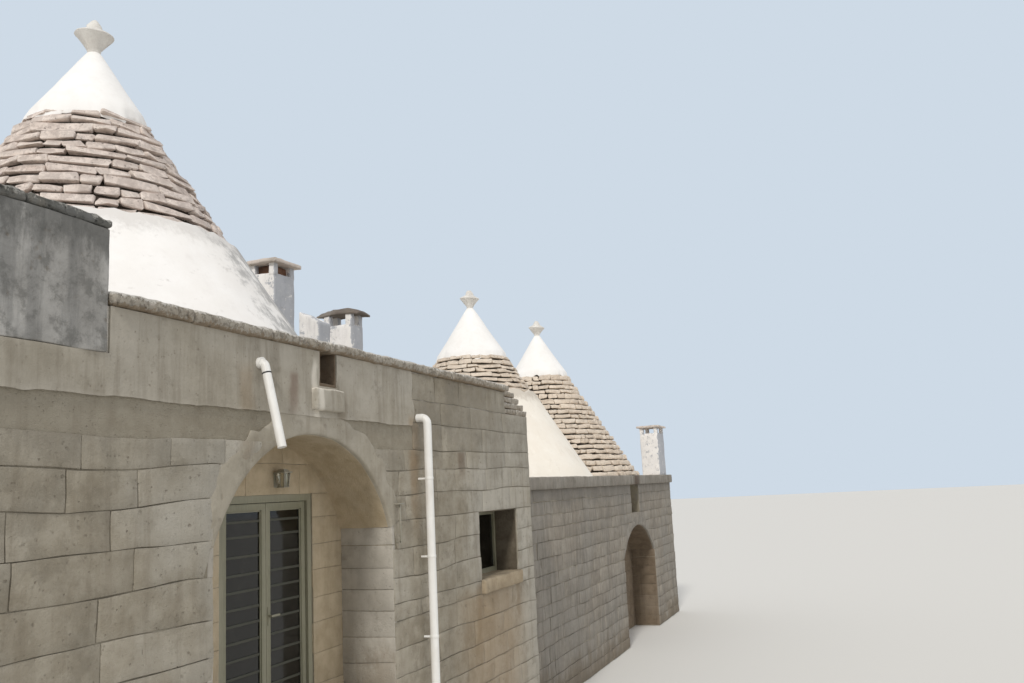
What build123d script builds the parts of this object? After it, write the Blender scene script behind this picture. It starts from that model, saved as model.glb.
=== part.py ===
"""Trullo house: an upper house with one large stone cone and an arched porch niche,
joined to a lower house with two smaller cones. All sizes in millimetres, +Z up."""
import math
import os

from build123d import *

os.makedirs("parts", exist_ok=True)

# Ground and plan. x runs along the fronts, y goes back from the upper front, z = 0 is the lower ground.
ground_fall = 1500
upper_length = 9400
upper_depth = 6000
lower_length = 13200
lower_setback = 700
lower_depth = 4600

# Walls, floors and roofs
front_wall = 950
party_wall = 550
upper_back_wall = 750
lower_back_wall = 600
upper_room_height = 2750
lower_room_height = 3460
upper_deck = 240
lower_deck = 200
lower_eave_overhang = 70
floor_slab = 200
lower_floor_slab = 150

# Porch arch and its niche
arch_left = 2755
arch_width = 2640
arch_spring = 1690
arch_radius = 1440
niche_depth = 580

# Glazed double door in the back of the niche
door_left = 3545
door_width = 1340
door_height = 2050
door_frame_bar = 65
door_frame_depth = 70
door_setback = 10
leaf_thick = 45
leaf_gap = 5
leaf_foot_gap = 8
leaf_stile = 60
leaf_foot_rail = 150
glass_thick = 6
knuckle_radius = 8
knuckle_height = 40
knuckle_gap = 0.3
hinge_plate = 3
hinge_plate_reach = 25
hinge_heights = (250, 1000, 1750)
handle_height = 1000
handle_plate_width = 24
handle_plate_height = 160
handle_plate_thick = 6
lever_reach = 45
lever_length = 110
lever_thick = 14
lever_height = 16

# Window right of the arch, placed from the right end of the upper house
window_from_end = 600
window_width = 1240
window_sill_top = 940
window_height = 800
sill_thick = 160
sill_overhang = 60
casement_setback = 300
casement_depth = 60
casement_bar = 60

# Parapet, coping, raised block and stepped shoulder of the upper front
parapet_thick = 320
parapet_height = 290
coping_thick = 100
coping_overhang = 70
block_length = 1730
block_thick = 500
block_height = 790
block_coping = 80
rain_slot_left = 4150
rain_slot_width = 255
shoulder_length = 830
shoulder_steps = 5
shoulder_step_height = 78

# Stone spout block under the rain slot, sloping rain pipe and downpipe
spout_stone_left = 4010
spout_stone_width = 460
spout_stone_height = 200
spout_stone_reach = 70
rain_pipe_x = 3280
rain_pipe_height = 3080
rain_pipe_drop = 680
rain_pipe_reach = 250
rain_pipe_stub = 70
rain_pipe_radius = 35
pipe_socket_radius = 45
pipe_socket_length = 55
rain_pipe_bend = 50
rain_pipe_lean = 30
downpipe_x = 6000
downpipe_height = 2790
downpipe_foot = 80
downpipe_reach = 130
downpipe_radius = 43
downpipe_bend = 70

# Lantern over the door
lantern_x = 4310
lantern_foot = 2110
lantern_height = 130
lantern_foot_width = 75
lantern_head_width = 95
lantern_wall_gap = 15
lantern_plate_width = 60
lantern_plate_thick = 8
lantern_arm = 16
lantern_roof_overhang = 14
lantern_roof_thick = 12
lantern_crown = 25
lantern_crown_width = 60

# Large cone: placed from the right end of the upper house, with a gap between its foot and the parapets.
# Slope is rise over run, the stones' height is above the upper floor, the cap's is from its foot to the
# apex, the shell thins towards the cap.
cone_slope = 1.55
cone_from_end = 4995
cone_side_gap = 67.0968
cone_stone_foot = 4650
cone_cap_height = 1000
cone_shell_foot = 460
cone_shell_top = 140
cone_courses = 16
cone_sides = 26
cone_stone_proud = 10
neck_radius = 75

# Pinnacle on each cone: a flared stone disc with a stubby knob on top
pinnacle_radius = 210
pinnacle_height = 390
rim_foot = 210
rim_thick = 30
crown_rise = 55
knob_radius = 75
knob_chamfer = 45

# Twin cones of the lower house, standing on its eaves: heights are above the lower ground, the caps' are
# from their foot to the apex
twin_slope = 1.58
twin_first_x = 14500
twin_spacing = 4200
twin_band_top = 5400
twin_cap_height = 1204.6
twin_shell_foot = 420
twin_shell_top = 150
first_cone_courses = 8
second_cone_courses = 16
twin_sides = 20
twin_stone_proud = 10

# Arched niche and wall slot of the lower front
lower_arch_left = 17050
lower_arch_width = 3050
lower_arch_spring = 1850
lower_arch_rise = 680
lower_niche_depth = 600
wall_slot_left = 18050
wall_slot_width = 750
wall_slot_height = 650
wall_slot_depth = 300

# Chimneys: distance of the shaft from the right end of its house, size of the shaft, height of its slab above
# the roof deck, overhang, rim and hipped crown of the slab
chimney_vent = 150
chimney_post = 100
chimney_flue_depth = 400
rear_chimney = dict(from_end=990, y=3530, w=520, d=440, h=2535, over_x=80, over_y=80, rim=60, crown=30)
front_chimney = dict(from_end=1275, y=2050, w=320, d=450, h=1540, over_x=20, over_y=110, rim=35, crown=75)
end_chimney = dict(from_end=1100, y=700, w=780, d=480, h=1280, over_x=70, over_y=70, rim=50, crown=30)
slab_crown_share = 0.4
stub_from_end = 2140
stub_y = 2020
stub_width = 290
stub_depth = 300
stub_high = 1440
stub_low = 1290

# Worked-out levels
upper_floor = ground_fall
upper_wall_top = upper_floor + upper_room_height
upper_roof = upper_wall_top + upper_deck
lower_wall_top = lower_room_height
lower_roof = lower_wall_top + lower_deck
lower_end = upper_length + lower_length
lower_front_y = lower_setback
lower_back_y = lower_setback + lower_depth
cone_x = upper_length - cone_from_end
cone_y = upper_depth / 2
cone_foot_radius = upper_depth / 2 - parapet_thick - cone_side_gap
cone_apex = upper_roof - upper_floor + cone_slope * cone_foot_radius
twin_y = lower_front_y + lower_depth / 2
twin_apex = lower_roof + twin_slope * (lower_depth / 2 + lower_eave_overhang)
twin_cap_foot = twin_apex - twin_cap_height
cone_cap_foot = cone_apex - cone_cap_height
arch_right = arch_left + arch_width
door_right = door_left + door_width
window_right = upper_length - window_from_end
window_left = window_right - window_width
stub_x = upper_length - stub_from_end
lower_arch_right = lower_arch_left + lower_arch_width

# How far a cutting shape runs past the faces it opens
cut_margin = 1

nodes = {}


def block(x0, x1, y0, y1, z0, z1):
    """A plain block between two corners."""
    return Pos(x0, y0, z0) * Box(x1 - x0, y1 - y0, z1 - z0, align=(Align.MIN, Align.MIN, Align.MIN))


def pair_of(pieces):
    """Like pieces that share a node."""
    return Compound([solid for piece in pieces for solid in piece.solids()])


def arched_head(x0, width, y0, depth, spring, top, radius):
    """The wall over an arch: a block from the springing up, with a round underside."""
    half = width / 2
    centre_z = spring - math.sqrt(radius ** 2 - half ** 2)
    drum = Pos(x0 + half, y0 + depth / 2, centre_z) * Rot(90, 0, 0) * Cylinder(radius, depth * 2)
    return block(x0, x0 + width, y0, y0 + depth, spring, top) - drum


def turned(points, x, y):
    """A solid of revolution from (radius, height) points about the upright line at x, y."""
    outline = Polyline(*[(r, 0, z) for r, z in points], close=True)
    return Pos(x, y, 0) * revolve(make_face(outline), Axis.Z)


def cone_radius(apex, slope, z):
    return (apex - z) / slope


def cone_slice(x, y, apex, slope, z0, z1, inset_foot=0, inset_top=0):
    """A slice of the cone between two heights, drawn in from the cone's face at its foot and top."""
    r0 = cone_radius(apex, slope, z0) - inset_foot
    r1 = cone_radius(apex, slope, z1) - inset_top
    return turned([(0, z0), (r0, z0), (r1, z1), (0, z1)], x, y)


def stone_courses(x, y, apex, slope, z0, z1, courses, sides, proud):
    """Corbelled courses: each ring of flat stones steps in over the one below, joints staggered."""
    rise = (z1 - z0) / courses
    courses_solid = None
    for i in range(courses):
        z = z0 + i * rise
        radius = cone_radius(apex, slope, z + rise / 2) + proud
        turn = 180 / sides * (i % 2)
        ring = extrude(RegularPolygon(radius, sides, rotation=turn), rise)
        ring = Pos(x, y, z) * ring
        courses_solid = ring if courses_solid is None else courses_solid + ring
    return courses_solid


def cone_cap(x, y, apex, slope, z0, neck, proud):
    """The smooth closing cap, a little proud of the top course, ending in the pinnacle's neck."""
    r0 = cone_radius(apex, slope, z0) + proud
    top = apex - neck * slope
    return turned([(0, z0), (r0, z0), (r0 - proud / 2, z0 + proud), (neck, top), (0, top)], x, y)


def pinnacle(x, y, foot):
    """A flared disc on a neck, with a stubby knob on top."""
    top = foot + pinnacle_height
    crown = foot + rim_foot + rim_thick + crown_rise
    points = [
        (0, foot),
        (neck_radius, foot),
        (pinnacle_radius, foot + rim_foot),
        (pinnacle_radius, foot + rim_foot + rim_thick),
        (knob_radius, crown),
        (knob_radius, top - knob_chamfer),
        (knob_radius - knob_chamfer, top),
        (0, top),
    ]
    return turned(points, x, y)


def chimney(x, y, w, d, h, roof):
    """A square shaft that ends in four corner posts, with a flue open to the vents between them."""
    top = roof + h
    vent_foot = top - chimney_vent
    shaft = block(x, x + w, y, y + d, roof, top)
    along = block(x - cut_margin, x + w + cut_margin, y + chimney_post, y + d - chimney_post,
                  vent_foot, top + cut_margin)
    across = block(x + chimney_post, x + w - chimney_post, y - cut_margin, y + d + cut_margin,
                   vent_foot, top + cut_margin)
    flue = block(x + chimney_post, x + w - chimney_post, y + chimney_post, y + d - chimney_post,
                 vent_foot - chimney_flue_depth, vent_foot)
    return shaft - along - across - flue


def chimney_slab(x, y, w, d, z, over_x, over_y, rim, crown):
    """The flat stone that roofs a chimney: a thin rim and a low hipped crown."""
    plan = Rectangle(w + 2 * over_x, d + 2 * over_y)
    middle = Pos(x + w / 2, y + d / 2, z)
    ridge = Rectangle(w * slab_crown_share, d * slab_crown_share)
    return middle * (extrude(plan, rim) + loft([Pos(0, 0, rim) * plan, Pos(0, 0, rim + crown) * ridge]))


def upper_house():
    z0 = 0
    top = upper_wall_top
    back = upper_depth - upper_back_wall
    nodes["front_wall_left"] = block(0, arch_left, 0, front_wall, z0, top)
    nodes["porch_step"] = block(arch_left, arch_right, 0, front_wall, z0, upper_floor)
    nodes["porch_arch"] = arched_head(arch_left, arch_width, 0, niche_depth, upper_floor + arch_spring, top,
                                      arch_radius)
    nodes["niche_back_left"] = block(arch_left, door_left, niche_depth, front_wall, upper_floor, top)
    nodes["niche_back_right"] = block(door_right, arch_right, niche_depth, front_wall, upper_floor, top)
    nodes["door_lintel"] = block(door_left, door_right, niche_depth, front_wall, upper_floor + door_height,
                                 top)
    nodes["front_wall_middle"] = block(arch_right, window_left, 0, front_wall, z0, top)
    sill_foot = upper_floor + window_sill_top - sill_thick
    window_top = upper_floor + window_sill_top + window_height
    nodes["wall_under_window"] = block(window_left, window_right, 0, front_wall, z0, sill_foot)
    nodes["wall_over_window"] = block(window_left, window_right, 0, front_wall, window_top, top)
    nodes["front_wall_right"] = block(window_right, upper_length, 0, front_wall, z0, top)
    nodes["left_party_wall"] = block(0, party_wall, front_wall, back, z0, top)
    nodes["middle_party_wall"] = block(upper_length - party_wall, upper_length, front_wall, back, z0, top)
    nodes["upper_back_wall"] = block(0, upper_length, back, upper_depth, z0, top)
    nodes["upper_floor"] = block(party_wall, upper_length - party_wall, front_wall, back,
                                 upper_floor - floor_slab, upper_floor)
    hole_radius = cone_radius(cone_apex + upper_floor, cone_slope, upper_roof) - cone_shell_foot
    deck = block(0, upper_length, 0, upper_depth, top, upper_roof)
    nodes["upper_roof_deck"] = deck - Pos(cone_x, cone_y, top) * Cylinder(hole_radius, upper_deck * 3)


def coping_bar(x0, x1, y0, y1, z0, thick):
    """A coping with a rounded nose along its front edge."""
    nose = thick / 2
    bar = block(x0, x1, y0 + nose, y1, z0, z0 + thick)
    roll = Pos((x0 + x1) / 2, y0 + nose, z0 + nose) * Rot(0, 90, 0) * Cylinder(nose, x1 - x0)
    return bar + roll


def upper_parapet():
    z = upper_roof
    top = z + parapet_height
    shoulder_start = upper_length - shoulder_length
    left = block(block_length, rain_slot_left, 0, parapet_thick, z, top)
    right = block(rain_slot_left + rain_slot_width, shoulder_start, 0, parapet_thick, z, top)
    nodes["front_parapet"] = pair_of([left, right])
    nodes["front_coping"] = coping_bar(block_length, shoulder_start, -coping_overhang,
                                       parapet_thick + coping_overhang, top, coping_thick)
    nodes["raised_block"] = block(0, block_length, 0, block_thick, z, z + block_height)
    nodes["block_coping"] = coping_bar(0, block_length + coping_overhang / 2, -coping_overhang / 2,
                                       block_thick + coping_overhang / 2, z + block_height, block_coping)
    steps = None
    for i in range(shoulder_steps):
        end = upper_length - i * shoulder_length / shoulder_steps
        foot = z + i * shoulder_step_height
        slab = block(shoulder_start, end, 0, parapet_thick, foot, foot + shoulder_step_height)
        steps = slab if steps is None else steps + slab
    nodes["stepped_shoulder"] = steps
    nodes["back_parapet"] = block(0, upper_length, upper_depth - parapet_thick, upper_depth, z, top)
    back_coping = coping_bar(0, upper_length, -coping_overhang, parapet_thick + coping_overhang, top,
                             coping_thick)
    nodes["back_coping"] = Pos(upper_length, upper_depth, 0) * Rot(0, 0, 180) * back_coping
    stone_top = upper_wall_top + spout_stone_height
    nodes["spout_stone"] = block(spout_stone_left, spout_stone_left + spout_stone_width, -spout_stone_reach, 0,
                                 upper_wall_top, stone_top)


def pipe_run(points, radii, radius):
    path = FilletPolyline(*points, radius=radii)
    start = Plane(origin=path @ 0, z_dir=path % 0)
    return sweep(start * Circle(radius), path)


def pipes():
    z = upper_floor + rain_pipe_height
    foot = (rain_pipe_x - rain_pipe_lean, -rain_pipe_reach, z - rain_pipe_drop)
    run = pipe_run([(rain_pipe_x, 0, z), (rain_pipe_x, -rain_pipe_stub, z), foot], rain_pipe_bend,
                   rain_pipe_radius)
    socket = Pos(rain_pipe_x, -pipe_socket_length / 2, z) * Rot(90, 0, 0) * Cylinder(pipe_socket_radius,
                                                                                  pipe_socket_length)
    nodes["rain_pipe"] = run + socket
    head = upper_floor + downpipe_height
    down_points = [
        (downpipe_x, 0, head),
        (downpipe_x, -downpipe_reach, head),
        (downpipe_x, -downpipe_reach, upper_floor + downpipe_foot),
    ]
    nodes["downpipe"] = pipe_run(down_points, downpipe_bend, downpipe_radius)


def lever_handle(x, face_y, z):
    """A handle plate on the outer face of a leaf, with a neck and a lever that points right."""
    half_plate = handle_plate_width / 2
    half_lever = lever_height / 2
    lever_y = face_y - lever_reach
    plate = block(x - half_plate, x + half_plate, face_y - handle_plate_thick, face_y,
                  z - handle_plate_height / 2, z + handle_plate_height / 2)
    neck = block(x - half_lever, x + half_lever, lever_y, face_y - handle_plate_thick,
                 z - half_lever, z + half_lever)
    lever = block(x - half_lever, x + lever_length, lever_y, lever_y + lever_thick,
                  z - half_lever, z + half_lever)
    return plate + neck + lever


def door():
    """Frame and two glazed leaves that swing into the room on barrel hinges."""
    y0 = niche_depth + door_setback
    y1 = y0 + door_frame_depth
    z0 = upper_floor
    top = z0 + door_height
    inner_left = door_left + door_frame_bar
    inner_right = door_right - door_frame_bar
    frame = block(door_left, door_right, y0, y1, z0, top)
    frame -= block(inner_left, inner_right, y0 - cut_margin, y1 + cut_margin, z0 - cut_margin,
                   top - door_frame_bar)
    leaf_width = (inner_right - inner_left - 3 * leaf_gap) / 2
    foot = z0 + leaf_foot_gap
    head = top - door_frame_bar - leaf_gap
    axis_y = y1 + knuckle_radius
    leaves = {"left": (inner_left + leaf_gap, 1), "right": (inner_right - leaf_gap, -1)}
    for side, (edge, way) in leaves.items():
        x0 = min(edge, edge + way * leaf_width)
        x1 = x0 + leaf_width
        leaf = block(x0, x1, y1 - leaf_thick, y1, foot, head)
        pane = (x0 + leaf_stile, x1 - leaf_stile)
        leaf -= block(pane[0], pane[1], y0 - cut_margin, y1 + cut_margin, foot + leaf_foot_rail,
                      head - leaf_stile)
        axis_x = edge - way * leaf_gap / 2
        for height in hinge_heights:
            z = z0 + height
            for part, lift, away in (("frame", 0, -way), ("leaf", knuckle_height + knuckle_gap, way)):
                barrel = Pos(axis_x, axis_y, z + lift + knuckle_height / 2) * Cylinder(knuckle_radius,
                                                                                     knuckle_height)
                reach = axis_x + away * (leaf_gap / 2 + hinge_plate_reach)
                plate = block(min(axis_x, reach), max(axis_x, reach), y1, y1 + hinge_plate,
                              z + lift, z + lift + knuckle_height)
                if part == "frame":
                    frame = frame + barrel + plate
                else:
                    leaf = leaf + barrel + plate
        if side == "right":
            leaf += lever_handle(x0 + leaf_stile / 2, y1 - leaf_thick, z0 + handle_height)
        glass_y = y1 - (leaf_thick + glass_thick) / 2
        nodes[f"door_leaf_{side}"] = leaf
        nodes[f"door_glass_{side}"] = block(pane[0], pane[1], glass_y, glass_y + glass_thick,
                                            foot + leaf_foot_rail, head - leaf_stile)
    nodes["door_frame"] = frame


def window():
    x0 = window_left
    x1 = window_right
    z0 = upper_floor + window_sill_top
    z1 = z0 + window_height
    y0 = casement_setback
    y1 = y0 + casement_depth
    nodes["window_sill"] = block(x0, x1, -sill_overhang, front_wall, z0 - sill_thick, z0)
    middle = (x0 + x1) / 2
    half_bar = casement_bar / 2
    panes = [(x0 + casement_bar, middle - half_bar), (middle + half_bar, x1 - casement_bar)]
    casement = block(x0, x1, y0, y1, z0, z1)
    glass = []
    glass_y = y0 + (casement_depth - glass_thick) / 2
    for a, b in panes:
        casement -= block(a, b, y0 - cut_margin, y1 + cut_margin, z0 + casement_bar, z1 - casement_bar)
        glass.append(block(a, b, glass_y, glass_y + glass_thick, z0 + casement_bar, z1 - casement_bar))
    nodes["window_casement"] = casement
    nodes["window_glass"] = pair_of(glass)


def lantern():
    """A wall lantern: back plate, arm, four tapered sides and a flat roof with a small crown."""
    z0 = upper_floor + lantern_foot
    z1 = z0 + lantern_height
    half_head = lantern_head_width / 2
    middle_y = niche_depth - lantern_plate_thick - lantern_wall_gap - half_head - lantern_roof_overhang
    half_plate = lantern_plate_width / 2
    half_arm = lantern_arm / 2
    roof_half = half_head + lantern_roof_overhang
    roof_top = z1 + lantern_roof_thick
    plate = block(lantern_x - half_plate, lantern_x + half_plate,
                  niche_depth - lantern_plate_thick, niche_depth, z0, roof_top)
    arm = block(lantern_x - half_arm, lantern_x + half_arm, middle_y, niche_depth - lantern_plate_thick,
                z1, roof_top)
    sides = loft([Pos(lantern_x, middle_y, z0) * Rectangle(lantern_foot_width, lantern_foot_width),
                  Pos(lantern_x, middle_y, z1) * Rectangle(lantern_head_width, lantern_head_width)])
    roof = block(lantern_x - roof_half, lantern_x + roof_half, middle_y - roof_half, middle_y + roof_half,
                 z1, roof_top)
    crown = loft([Pos(lantern_x, middle_y, roof_top) * Rectangle(lantern_head_width, lantern_head_width),
                  Pos(lantern_x, middle_y, roof_top + lantern_crown)
                  * Rectangle(lantern_crown_width, lantern_crown_width)])
    nodes["lantern"] = plate + arm + sides + roof + crown


def large_cone():
    apex = upper_floor + cone_apex
    stone_foot = upper_floor + cone_stone_foot
    cap_foot = upper_floor + cone_cap_foot
    room = cone_slice(cone_x, cone_y, apex, cone_slope, upper_roof, cap_foot, cone_shell_foot, cone_shell_top)
    nodes["cone_base"] = cone_slice(cone_x, cone_y, apex, cone_slope, upper_roof, stone_foot) - room
    nodes["cone_stones"] = stone_courses(cone_x, cone_y, apex, cone_slope, stone_foot, cap_foot, cone_courses,
                                         cone_sides, cone_stone_proud) - room
    nodes["cone_cap"] = cone_cap(cone_x, cone_y, apex, cone_slope, cap_foot, neck_radius, cone_stone_proud)
    nodes["cone_pinnacle"] = pinnacle(cone_x, cone_y, apex - neck_radius * cone_slope)


def lower_house():
    y0 = lower_front_y
    y1 = y0 + front_wall
    y2 = lower_back_y - lower_back_wall
    top = lower_wall_top
    niche_y = y0 + lower_niche_depth
    nodes["lower_front_left"] = block(upper_length, lower_arch_left, y0, y1, 0, top)
    nodes["lower_front_right"] = block(lower_arch_right, lower_end, y0, y1, 0, top)
    half = lower_arch_width / 2
    radius = (half ** 2 + lower_arch_rise ** 2) / (2 * lower_arch_rise)
    head = arched_head(lower_arch_left, lower_arch_width, y0, lower_niche_depth, lower_arch_spring, top, radius)
    head -= block(wall_slot_left, wall_slot_left + wall_slot_width, y0 - cut_margin, y0 + wall_slot_depth,
                  top - wall_slot_height, top + cut_margin)
    nodes["lower_arch"] = head
    nodes["lower_niche_back"] = block(lower_arch_left, lower_arch_right, niche_y, y1, 0, top)
    nodes["lower_back_wall"] = block(upper_length, lower_end, y2, lower_back_y, 0, top)
    nodes["end_party_wall"] = block(lower_end - party_wall, lower_end, y1, y2, 0, top)
    nodes["lower_floor"] = block(upper_length, lower_end - party_wall, y1, y2, 0, lower_floor_slab)
    deck = block(upper_length, lower_end, y0 - lower_eave_overhang, lower_back_y + lower_eave_overhang,
                 top, lower_roof)
    hole_radius = cone_radius(twin_apex, twin_slope, lower_roof) - twin_shell_foot
    for x in (twin_first_x, twin_first_x + twin_spacing):
        deck -= Pos(x, twin_y, top) * Cylinder(hole_radius, lower_deck * 3)
    nodes["lower_roof_deck"] = deck


def twin_cones():
    """Two cones that meet at a valley plane halfway between them."""
    second_x = twin_first_x + twin_spacing
    valley = (twin_first_x + second_x) / 2
    reach = twin_spacing * 2
    left_side = block(valley, valley + reach, twin_y - reach, twin_y + reach, 0, twin_apex * 2)
    right_side = block(valley - reach, valley, twin_y - reach, twin_y + reach, 0, twin_apex * 2)
    first_room, second_room = [cone_slice(x, twin_y, twin_apex, twin_slope, lower_roof, twin_cap_foot,
                                          twin_shell_foot, twin_shell_top)
                               for x in (twin_first_x, second_x)]
    first_base = cone_slice(twin_first_x, twin_y, twin_apex, twin_slope, lower_roof, twin_band_top)
    nodes["first_cone_base"] = first_base - first_room - left_side
    nodes["first_cone_stones"] = stone_courses(twin_first_x, twin_y, twin_apex, twin_slope, twin_band_top,
                                               twin_cap_foot, first_cone_courses, twin_sides,
                                               twin_stone_proud) - first_room
    nodes["second_cone_stones"] = stone_courses(second_x, twin_y, twin_apex, twin_slope, lower_roof,
                                                twin_cap_foot, second_cone_courses, twin_sides,
                                                0) - second_room - right_side
    caps = []
    tips = []
    for x in (twin_first_x, second_x):
        caps.append(cone_cap(x, twin_y, twin_apex, twin_slope, twin_cap_foot, neck_radius, twin_stone_proud))
        tips.append(pinnacle(x, twin_y, twin_apex - neck_radius * twin_slope))
    nodes["twin_caps"] = pair_of(caps)
    nodes["twin_pinnacles"] = pair_of(tips)


def chimneys():
    slabs = []
    for name, size, end, roof in (("rear_chimney", rear_chimney, upper_length, upper_roof),
                                  ("front_chimney", front_chimney, upper_length, upper_roof),
                                  ("end_chimney", end_chimney, lower_end, lower_roof)):
        plan = (end - size["from_end"], size["y"], size["w"], size["d"])
        nodes[name] = chimney(*plan, size["h"], roof)
        slabs.append(chimney_slab(*plan, roof + size["h"], size["over_x"], size["over_y"], size["rim"],
                                  size["crown"]))
    nodes["chimney_slabs"] = pair_of(slabs)
    stub_back = stub_y + stub_depth
    side = Polyline((stub_x, stub_y, upper_roof), (stub_x, stub_back, upper_roof),
                    (stub_x, stub_back, upper_roof + stub_high), (stub_x, stub_y, upper_roof + stub_low),
                    close=True)
    nodes["flue_stub"] = extrude(make_face(side), stub_width, dir=(1, 0, 0))


upper_house()
upper_parapet()
pipes()
door()
window()
lantern()
large_cone()
lower_house()
twin_cones()
chimneys()

# The origin is the middle of the footprint's box, at the lower ground.
boxes = [part.bounding_box() for part in nodes.values()]
low = Vector(*[min(getattr(box.min, axis) for box in boxes) for axis in "XYZ"])
high = Vector(*[max(getattr(box.max, axis) for box in boxes) for axis in "XYZ"])
origin = Vector((low.X + high.X) / 2, (low.Y + high.Y) / 2, low.Z)
for name, part in nodes.items():
    solids = [Pos(-origin) * solid for solid in part.solids()]
    export_step(solids[0] if len(solids) == 1 else Compound(solids), f"parts/{name}.step")
print(len(nodes), "nodes, size", high - low, "origin", origin)
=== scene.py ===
import math
import random

import bmesh
import bpy
from mathutils import Matrix, Vector, noise


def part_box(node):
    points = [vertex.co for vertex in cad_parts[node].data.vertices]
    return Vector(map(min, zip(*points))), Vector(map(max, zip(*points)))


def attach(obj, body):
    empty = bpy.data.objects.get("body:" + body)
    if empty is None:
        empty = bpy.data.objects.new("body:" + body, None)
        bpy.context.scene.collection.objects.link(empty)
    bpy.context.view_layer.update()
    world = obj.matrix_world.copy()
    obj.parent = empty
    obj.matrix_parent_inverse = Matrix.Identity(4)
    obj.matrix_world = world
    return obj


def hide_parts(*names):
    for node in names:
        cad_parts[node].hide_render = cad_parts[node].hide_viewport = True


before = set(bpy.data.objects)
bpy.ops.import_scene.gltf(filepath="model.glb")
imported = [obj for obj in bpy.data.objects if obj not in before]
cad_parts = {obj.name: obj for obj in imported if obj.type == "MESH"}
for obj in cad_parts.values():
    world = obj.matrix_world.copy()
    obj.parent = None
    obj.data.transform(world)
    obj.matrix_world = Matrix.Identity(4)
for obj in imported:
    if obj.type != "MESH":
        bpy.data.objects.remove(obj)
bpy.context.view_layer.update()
print("frame loaded,", len(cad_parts), "nodes")
noise.seed_set(1795786179)  # fixes the noise vectors that roughen the surfaces


# Places, all read from the frame, in metres
def low(node):
    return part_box(node)[0]


def high(node):
    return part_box(node)[1]


def middleX(node):
    return (low(node).x + high(node).x) / 2


def middleY(node):
    return (low(node).y + high(node).y) / 2


frontY = low("front_wall_left").y
backY = high("upper_back_wall").y
upperLeft = low("front_wall_left").x
upperRight = high("front_wall_right").x
upperFloor = high("porch_step").z
wallTop = high("front_wall_left").z
upperRoof = high("upper_roof_deck").z
parapetTop = high("front_parapet").z
lowerY = low("lower_front_left").y
lowerBackY = high("lower_back_wall").y
lowerRight = high("lower_front_right").x
lowerTop = high("lower_front_left").z
lowerRoof = high("lower_roof_deck").z
coneX, coneY = middleX("cone_stones"), middleY("cone_stones")
firstX, twinY = middleX("first_cone_stones"), middleY("first_cone_stones")
secondX = low("twin_caps").x + high("twin_caps").x - firstX


# Mesh helpers
def addPiece(name, bm, material, body="house", standsFor=(), sharpAngle=38):
    mesh = bpy.data.meshes.new(name)
    bmesh.ops.recalc_face_normals(bm, faces=bm.faces)
    bm.to_mesh(mesh)
    bm.free()
    mesh.shade_smooth()
    mesh.set_sharp_from_angle(angle=math.radians(sharpAngle))
    mesh.materials.append(material)
    piece = bpy.data.objects.new(name, mesh)
    bpy.context.scene.collection.objects.link(piece)
    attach(piece, body)
    if standsFor:
        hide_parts(*standsFor)


def stoneMesh(seed):
    # a mesh whose faces carry the tone of their stone, and the seeded draws that lay it
    bm = bmesh.new()
    return bm, bm.faces.layers.float.new("tone"), random.Random(seed)


def addCube(bm, middle, size):
    place = Matrix.Translation(middle) @ Matrix.Diagonal((*size, 1))
    return bmesh.ops.create_cube(bm, size=1.0, matrix=place)["verts"]


def addBox(bm, start, end):
    return addCube(bm, (start + end) / 2, end - start)


def roughen(verts, amount, scale):
    # uneven surface that follows the place, so that neighbours don't gape
    for vert in verts:
        vert.co += noise.noise_vector(vert.co * scale) * amount


def waver(first, second, third, scale=1.0):
    return noise.noise(Vector((first, second, third)) * scale)


def roundEdges(bm, offset, segments=2, edges=None):
    bmesh.ops.bevel(bm, geom=edges or bm.edges[:], offset=offset, offset_type="OFFSET", segments=segments,
                    profile=0.5, affect="EDGES", clamp_overlap=False, material=-1)


def sharpEdges(bm, angle=0.8):
    return [edge for edge in bm.edges if edge.is_manifold and edge.calc_face_angle() > angle]


def wholeOf(bm):
    return bm.verts[:] + bm.edges[:] + bm.faces[:]


def layStone(bm, tone, rng, start, end, plane, jitter=0.0, cut=None):
    # one squared stone between two corners of the wall's own frame, x along, -y outwards, z up
    verts = bmesh.ops.create_cube(bm, size=1.0)["verts"]
    size = end - start
    middle = (start + end) / 2
    for vert in verts:
        vert.co = Vector((vert.co.x * size.x, vert.co.y * size.y, vert.co.z * size.z)) + middle
        vert.co += Vector((rng.uniform(-1, 1), rng.uniform(-1, 1), rng.uniform(-1, 1))) * jitter
        vert.co = plane @ vert.co
    faces = list(dict.fromkeys(face for vert in verts for face in vert.link_faces))
    shade = rng.random()
    for face in faces:
        face[tone] = shade
    if cut:
        edges = list(dict.fromkeys(edge for vert in verts for edge in vert.link_edges))
        opened = bmesh.ops.bisect_plane(bm, geom=verts + edges + faces, plane_co=cut[0], plane_no=cut[1],
                                        clear_inner=True)
        rim = [item for item in opened["geom_cut"] if isinstance(item, bmesh.types.BMEdge)]
        if len(rim) > 2:
            for face in bmesh.ops.edgeloop_fill(bm, edges=rim)["faces"]:
                face[tone] = shade


def pairsOf(lines):
    return list(zip(lines, lines[1:]))


def courseLines(rng, levels, height):
    # course heights that end exactly at each given level
    lines = [levels[0]]
    for foot, top in pairsOf(levels):
        parts = [rng.uniform(0.85, 1.15) for step in range(max(1, round((top - foot) / height)))]
        for part in parts:
            lines.append(lines[-1] + (top - foot) * part / sum(parts))
    return lines


shortest = 0.03  # no stone is laid in less
overlap = 0.01


def freeSpans(left, right, foot, top, gaps):
    # what the openings leave of one course
    spans = [(left, right)]
    for gapLeft, gapRight, gapFoot, gapTop in gaps:
        if top > gapFoot + overlap and foot < gapTop - overlap:
            kept = []
            for a, b in spans:
                kept += [(a, min(b, gapLeft)), (max(a, gapRight), b)]
            spans = [(a, b) for a, b in kept if b - a > shortest]
    return spans


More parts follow.
